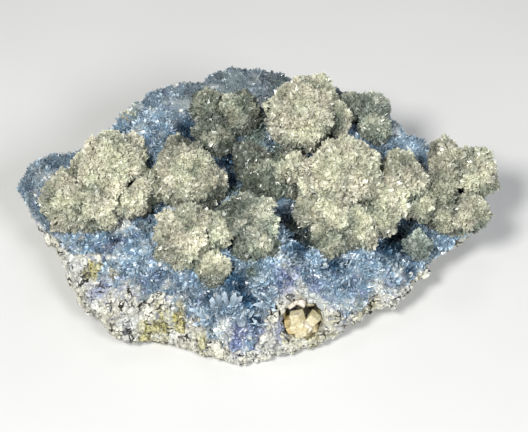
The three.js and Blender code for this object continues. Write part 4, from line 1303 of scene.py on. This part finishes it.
def lobe_blades(name, lobes, lobe, rng):
    """Where one lobe's blades stand and point, their turn, and how bright and green they are."""
    directions = even_directions(round(4 * math.pi * lobe.radius ** 2 / BLADE_AREA))
    directions = unit(directions + 0.3 / lobe.radius * rng.standard_normal(directions.shape))
    points = directions * lobe.surface(directions)[:, None] + lobe.centre
    seen = ~hidden_points(points, lobes, lobe, 0.35)
    directions, points = directions[seen], points[seen]
    head, head_dome = lobe.domes(directions, lobe.heads, HEAD_SPACING)
    bud, bud_dome = lobe.domes(directions, lobe.buds, BUD_SPACING)
    lean = (directions - lobe.heads[head]) * lobe.radius / HEAD_SPACING
    bud_lean = (directions - lobe.buds[bud]) * lobe.radius / BUD_SPACING
    axes = unit(directions + 0.3 * lean + 0.35 * bud_lean + lobe.bud_tilt[bud]
                + 0.5 * rng.standard_normal(points.shape))
    height = smooth_step(directions[:, 2], -0.35, 0.65)
    seam = lobe.seam(points)
    green, _, _, contrast, _ = BALL_LOOKS[name]
    spot_shade_and_tone, spot_green = ball_shade_and_colour_at(points)
    # Painted shade: the blades are darker between the heads and buds, on the lobe's underside and near
    # where it meets other lobes and the slab; the rest of the tone varies at random and in patches.
    tone = lobe.head_tone[head] * (0.9 + 0.12 * head_dome) * (0.96 + 0.06 * bud_dome)
    tone = tone * (1 + contrast * noise_at(points, 2.6, lobe.seed + 2)) * (1 + spot_shade_and_tone)
    tone = tone * (0.72 + 0.28 * height) * (1 - 0.2 * seam) * rng.uniform(0.78, 1.22, len(points))
    if name == "centre_back_cluster":
        green = green - 0.6 * smooth_step(points[:, 0], 2.0, 5.5)
    # Greener in the same places, partly as painted shade, and in uneven patches.
    shade = 0.35 * noise_at(points, 3, lobe.seed + 1) - 0.3 * head_dome
    shade = shade + 0.4 * (1 - height) + 0.5 * seam
    return points, axes, rng.uniform(0, math.pi, len(points)), tone, green + shade + spot_green


def ball_piece(name, seed):
    green, bright, blue, _, _ = BALL_LOOKS[name]
    rng = np.random.default_rng(seed)
    piece = Piece()
    lobes = [Lobe(*lobe, BALLS[name], rng, seed) for lobe in BALLS[name]]
    sphere, faces = sphere_mesh(CORE_DETAIL)
    for number, lobe in enumerate(lobes):
        core = sphere * (lobe.surface(sphere)[:, None] - 0.3) + lobe.centre
        keep = ~hidden_points(core[faces].mean(1), lobes, lobe, 1.0)
        places = folded_places(sphere, (number / len(lobes), 0.82), min(0.17, 1 / len(lobes)))
        piece.add(core, [faces[keep]], places, True, along=0.45, tone=0.85 * bright, green=green,
                  blue=blue)
    found = [lobe_blades(name, lobes, lobe, rng) for lobe in lobes]
    roots, axes, turn, tone, greens = (np.concatenate(part) for part in zip(*found))
    count = len(roots)
    size = 0.55 + 0.9 * rng.random(count) ** 4
    add_wedges(piece, roots - ROOT_DEPTH * axes, axes, turn, length=0.85 * size,
               width=0.62 * size * rng.uniform(0.7, 1.25, count),
               thickness=0.33 * size * rng.uniform(0.7, 1.3, count), rng=rng, cells=BALL_CELLS,
               tone=bright * tone, green=np.clip(greens, 0, 1), blue=blue)
    return piece


# The buff blocks in the pit

def buff_piece():
    rng = np.random.default_rng(BLOCK_SEED)
    piece = Piece()
    up = np.cross(PIT_OUT, RIGHT)
    for number, (right, high, out, *half, turn) in enumerate(BLOCKS):
        middle = PIT + RIGHT * right + up * high + PIT_OUT * out
        cosine, sine = math.cos(math.radians(turn)), math.sin(math.radians(turn))
        level = np.stack([RIGHT * cosine + up * sine, up * cosine - RIGHT * sine, PIT_OUT])
        turned = level + 0.2 * rng.standard_normal((3, 3))
        first = unit(turned[0])
        second = unit(turned[1] - first * (turned[1] @ first))
        add_block(piece, middle, (first, second, np.cross(first, second)), half, number, rng)
    return piece


def add_block(piece, middle, axes, half, number, rng):
    """A blunt crystal: a box whose edges are cut off flat."""
    made = bmesh.new()
    bmesh.ops.create_cube(made, size=2)
    bmesh.ops.bevel(made, geom=made.edges[:], offset=0.16, segments=1, affect="EDGES")
    bmesh.ops.triangulate(made, faces=made.faces[:])
    box, faces = bmesh_arrays(made)
    faces = sorted_triangles(faces)
    box = box * (1 + 0.16 * rng.uniform(-1, 1, box.shape)) * (1 - 0.2 * (box[:, 2:] > 0))
    points = middle + sum(np.outer(box[:, k] * half[k], axes[k]) for k in range(3))
    places = folded_places(unit(box), (0.25 * (number % 4), 0.25 * (number // 4)), 0.24)
    yellow = (0.75 if number in YELLOW_BLOCKS else 0.15) + 0.25 * noise_at(points, 1.2, 61)
    piece.add(points, [faces], places, False, yellow=yellow, pale=float(number in PALE_BLOCKS),
              burnt=0.7 * specks(points, 1.0, 60, 0.25, 0.5))


# The pieces

place_piece(rock_piece(), "nodular_rock", "matrix_rock", rock_material())
place_piece(crust_piece(), "blue_blades", "vauxite_crust", vauxite_material())
pale = pale_material()
for number, ball in enumerate(BALLS):
    place_piece(ball_piece(ball, BALL_SEED + number), ball + "_blades", ball, pale)
place_piece(buff_piece(), "buff_blocks", "buff_crystals", buff_material())


# The floor, the lights and the camera

def add_floor():
    n = Nodes("pale_floor")
    material = n.finish(n.ramp(n.noise(60, 2), *FLOOR_COLOURS), 0.8)
    bpy.ops.mesh.primitive_plane_add(size=FLOOR_SIZE, location=(0, 0, 0))
    obj = bpy.context.active_object
    obj.name = "floor"
    obj.data.materials.append(material)


def add_light(name, place, size, power, colour):
    light = bpy.data.lights.new(name, "AREA")
    light.shape = "DISK"
    light.size = size
    light.energy = power
    light.color = colour
    obj = bpy.data.objects.new(name, light)
    obj.location = place
    obj.rotation_euler = (Vector(LIGHT_AIM) - Vector(place)).to_track_quat("-Z", "Y").to_euler()
    bpy.context.scene.collection.objects.link(obj)


def add_camera():
    elevation = math.radians(CAMERA_ELEVATION)
    data = bpy.data.cameras.new("camera")
    data.lens = CAMERA_LENS
    data.clip_start = 0.01
    obj = bpy.data.objects.new("camera", data)
    way = Vector((0, -math.cos(elevation), math.sin(elevation)))
    obj.location = Vector(CAMERA_TARGET) + CAMERA_DISTANCE * way
    obj.rotation_euler = (math.pi / 2 - elevation, 0, 0)
    bpy.context.scene.collection.objects.link(obj)
    bpy.context.scene.camera = obj


def add_world():
    world = bpy.data.worlds.new("studio")
    world.use_nodes = True
    background = world.node_tree.nodes["Background"]
    background.inputs["Color"].default_value = (*WORLD_COLOUR, 1)
    background.inputs["Strength"].default_value = WORLD_STRENGTH
    bpy.context.scene.world = world


add_floor()
for light in LIGHTS:
    add_light(*light)
add_camera()
add_world()
bpy.context.scene.view_settings.view_transform = "Standard"
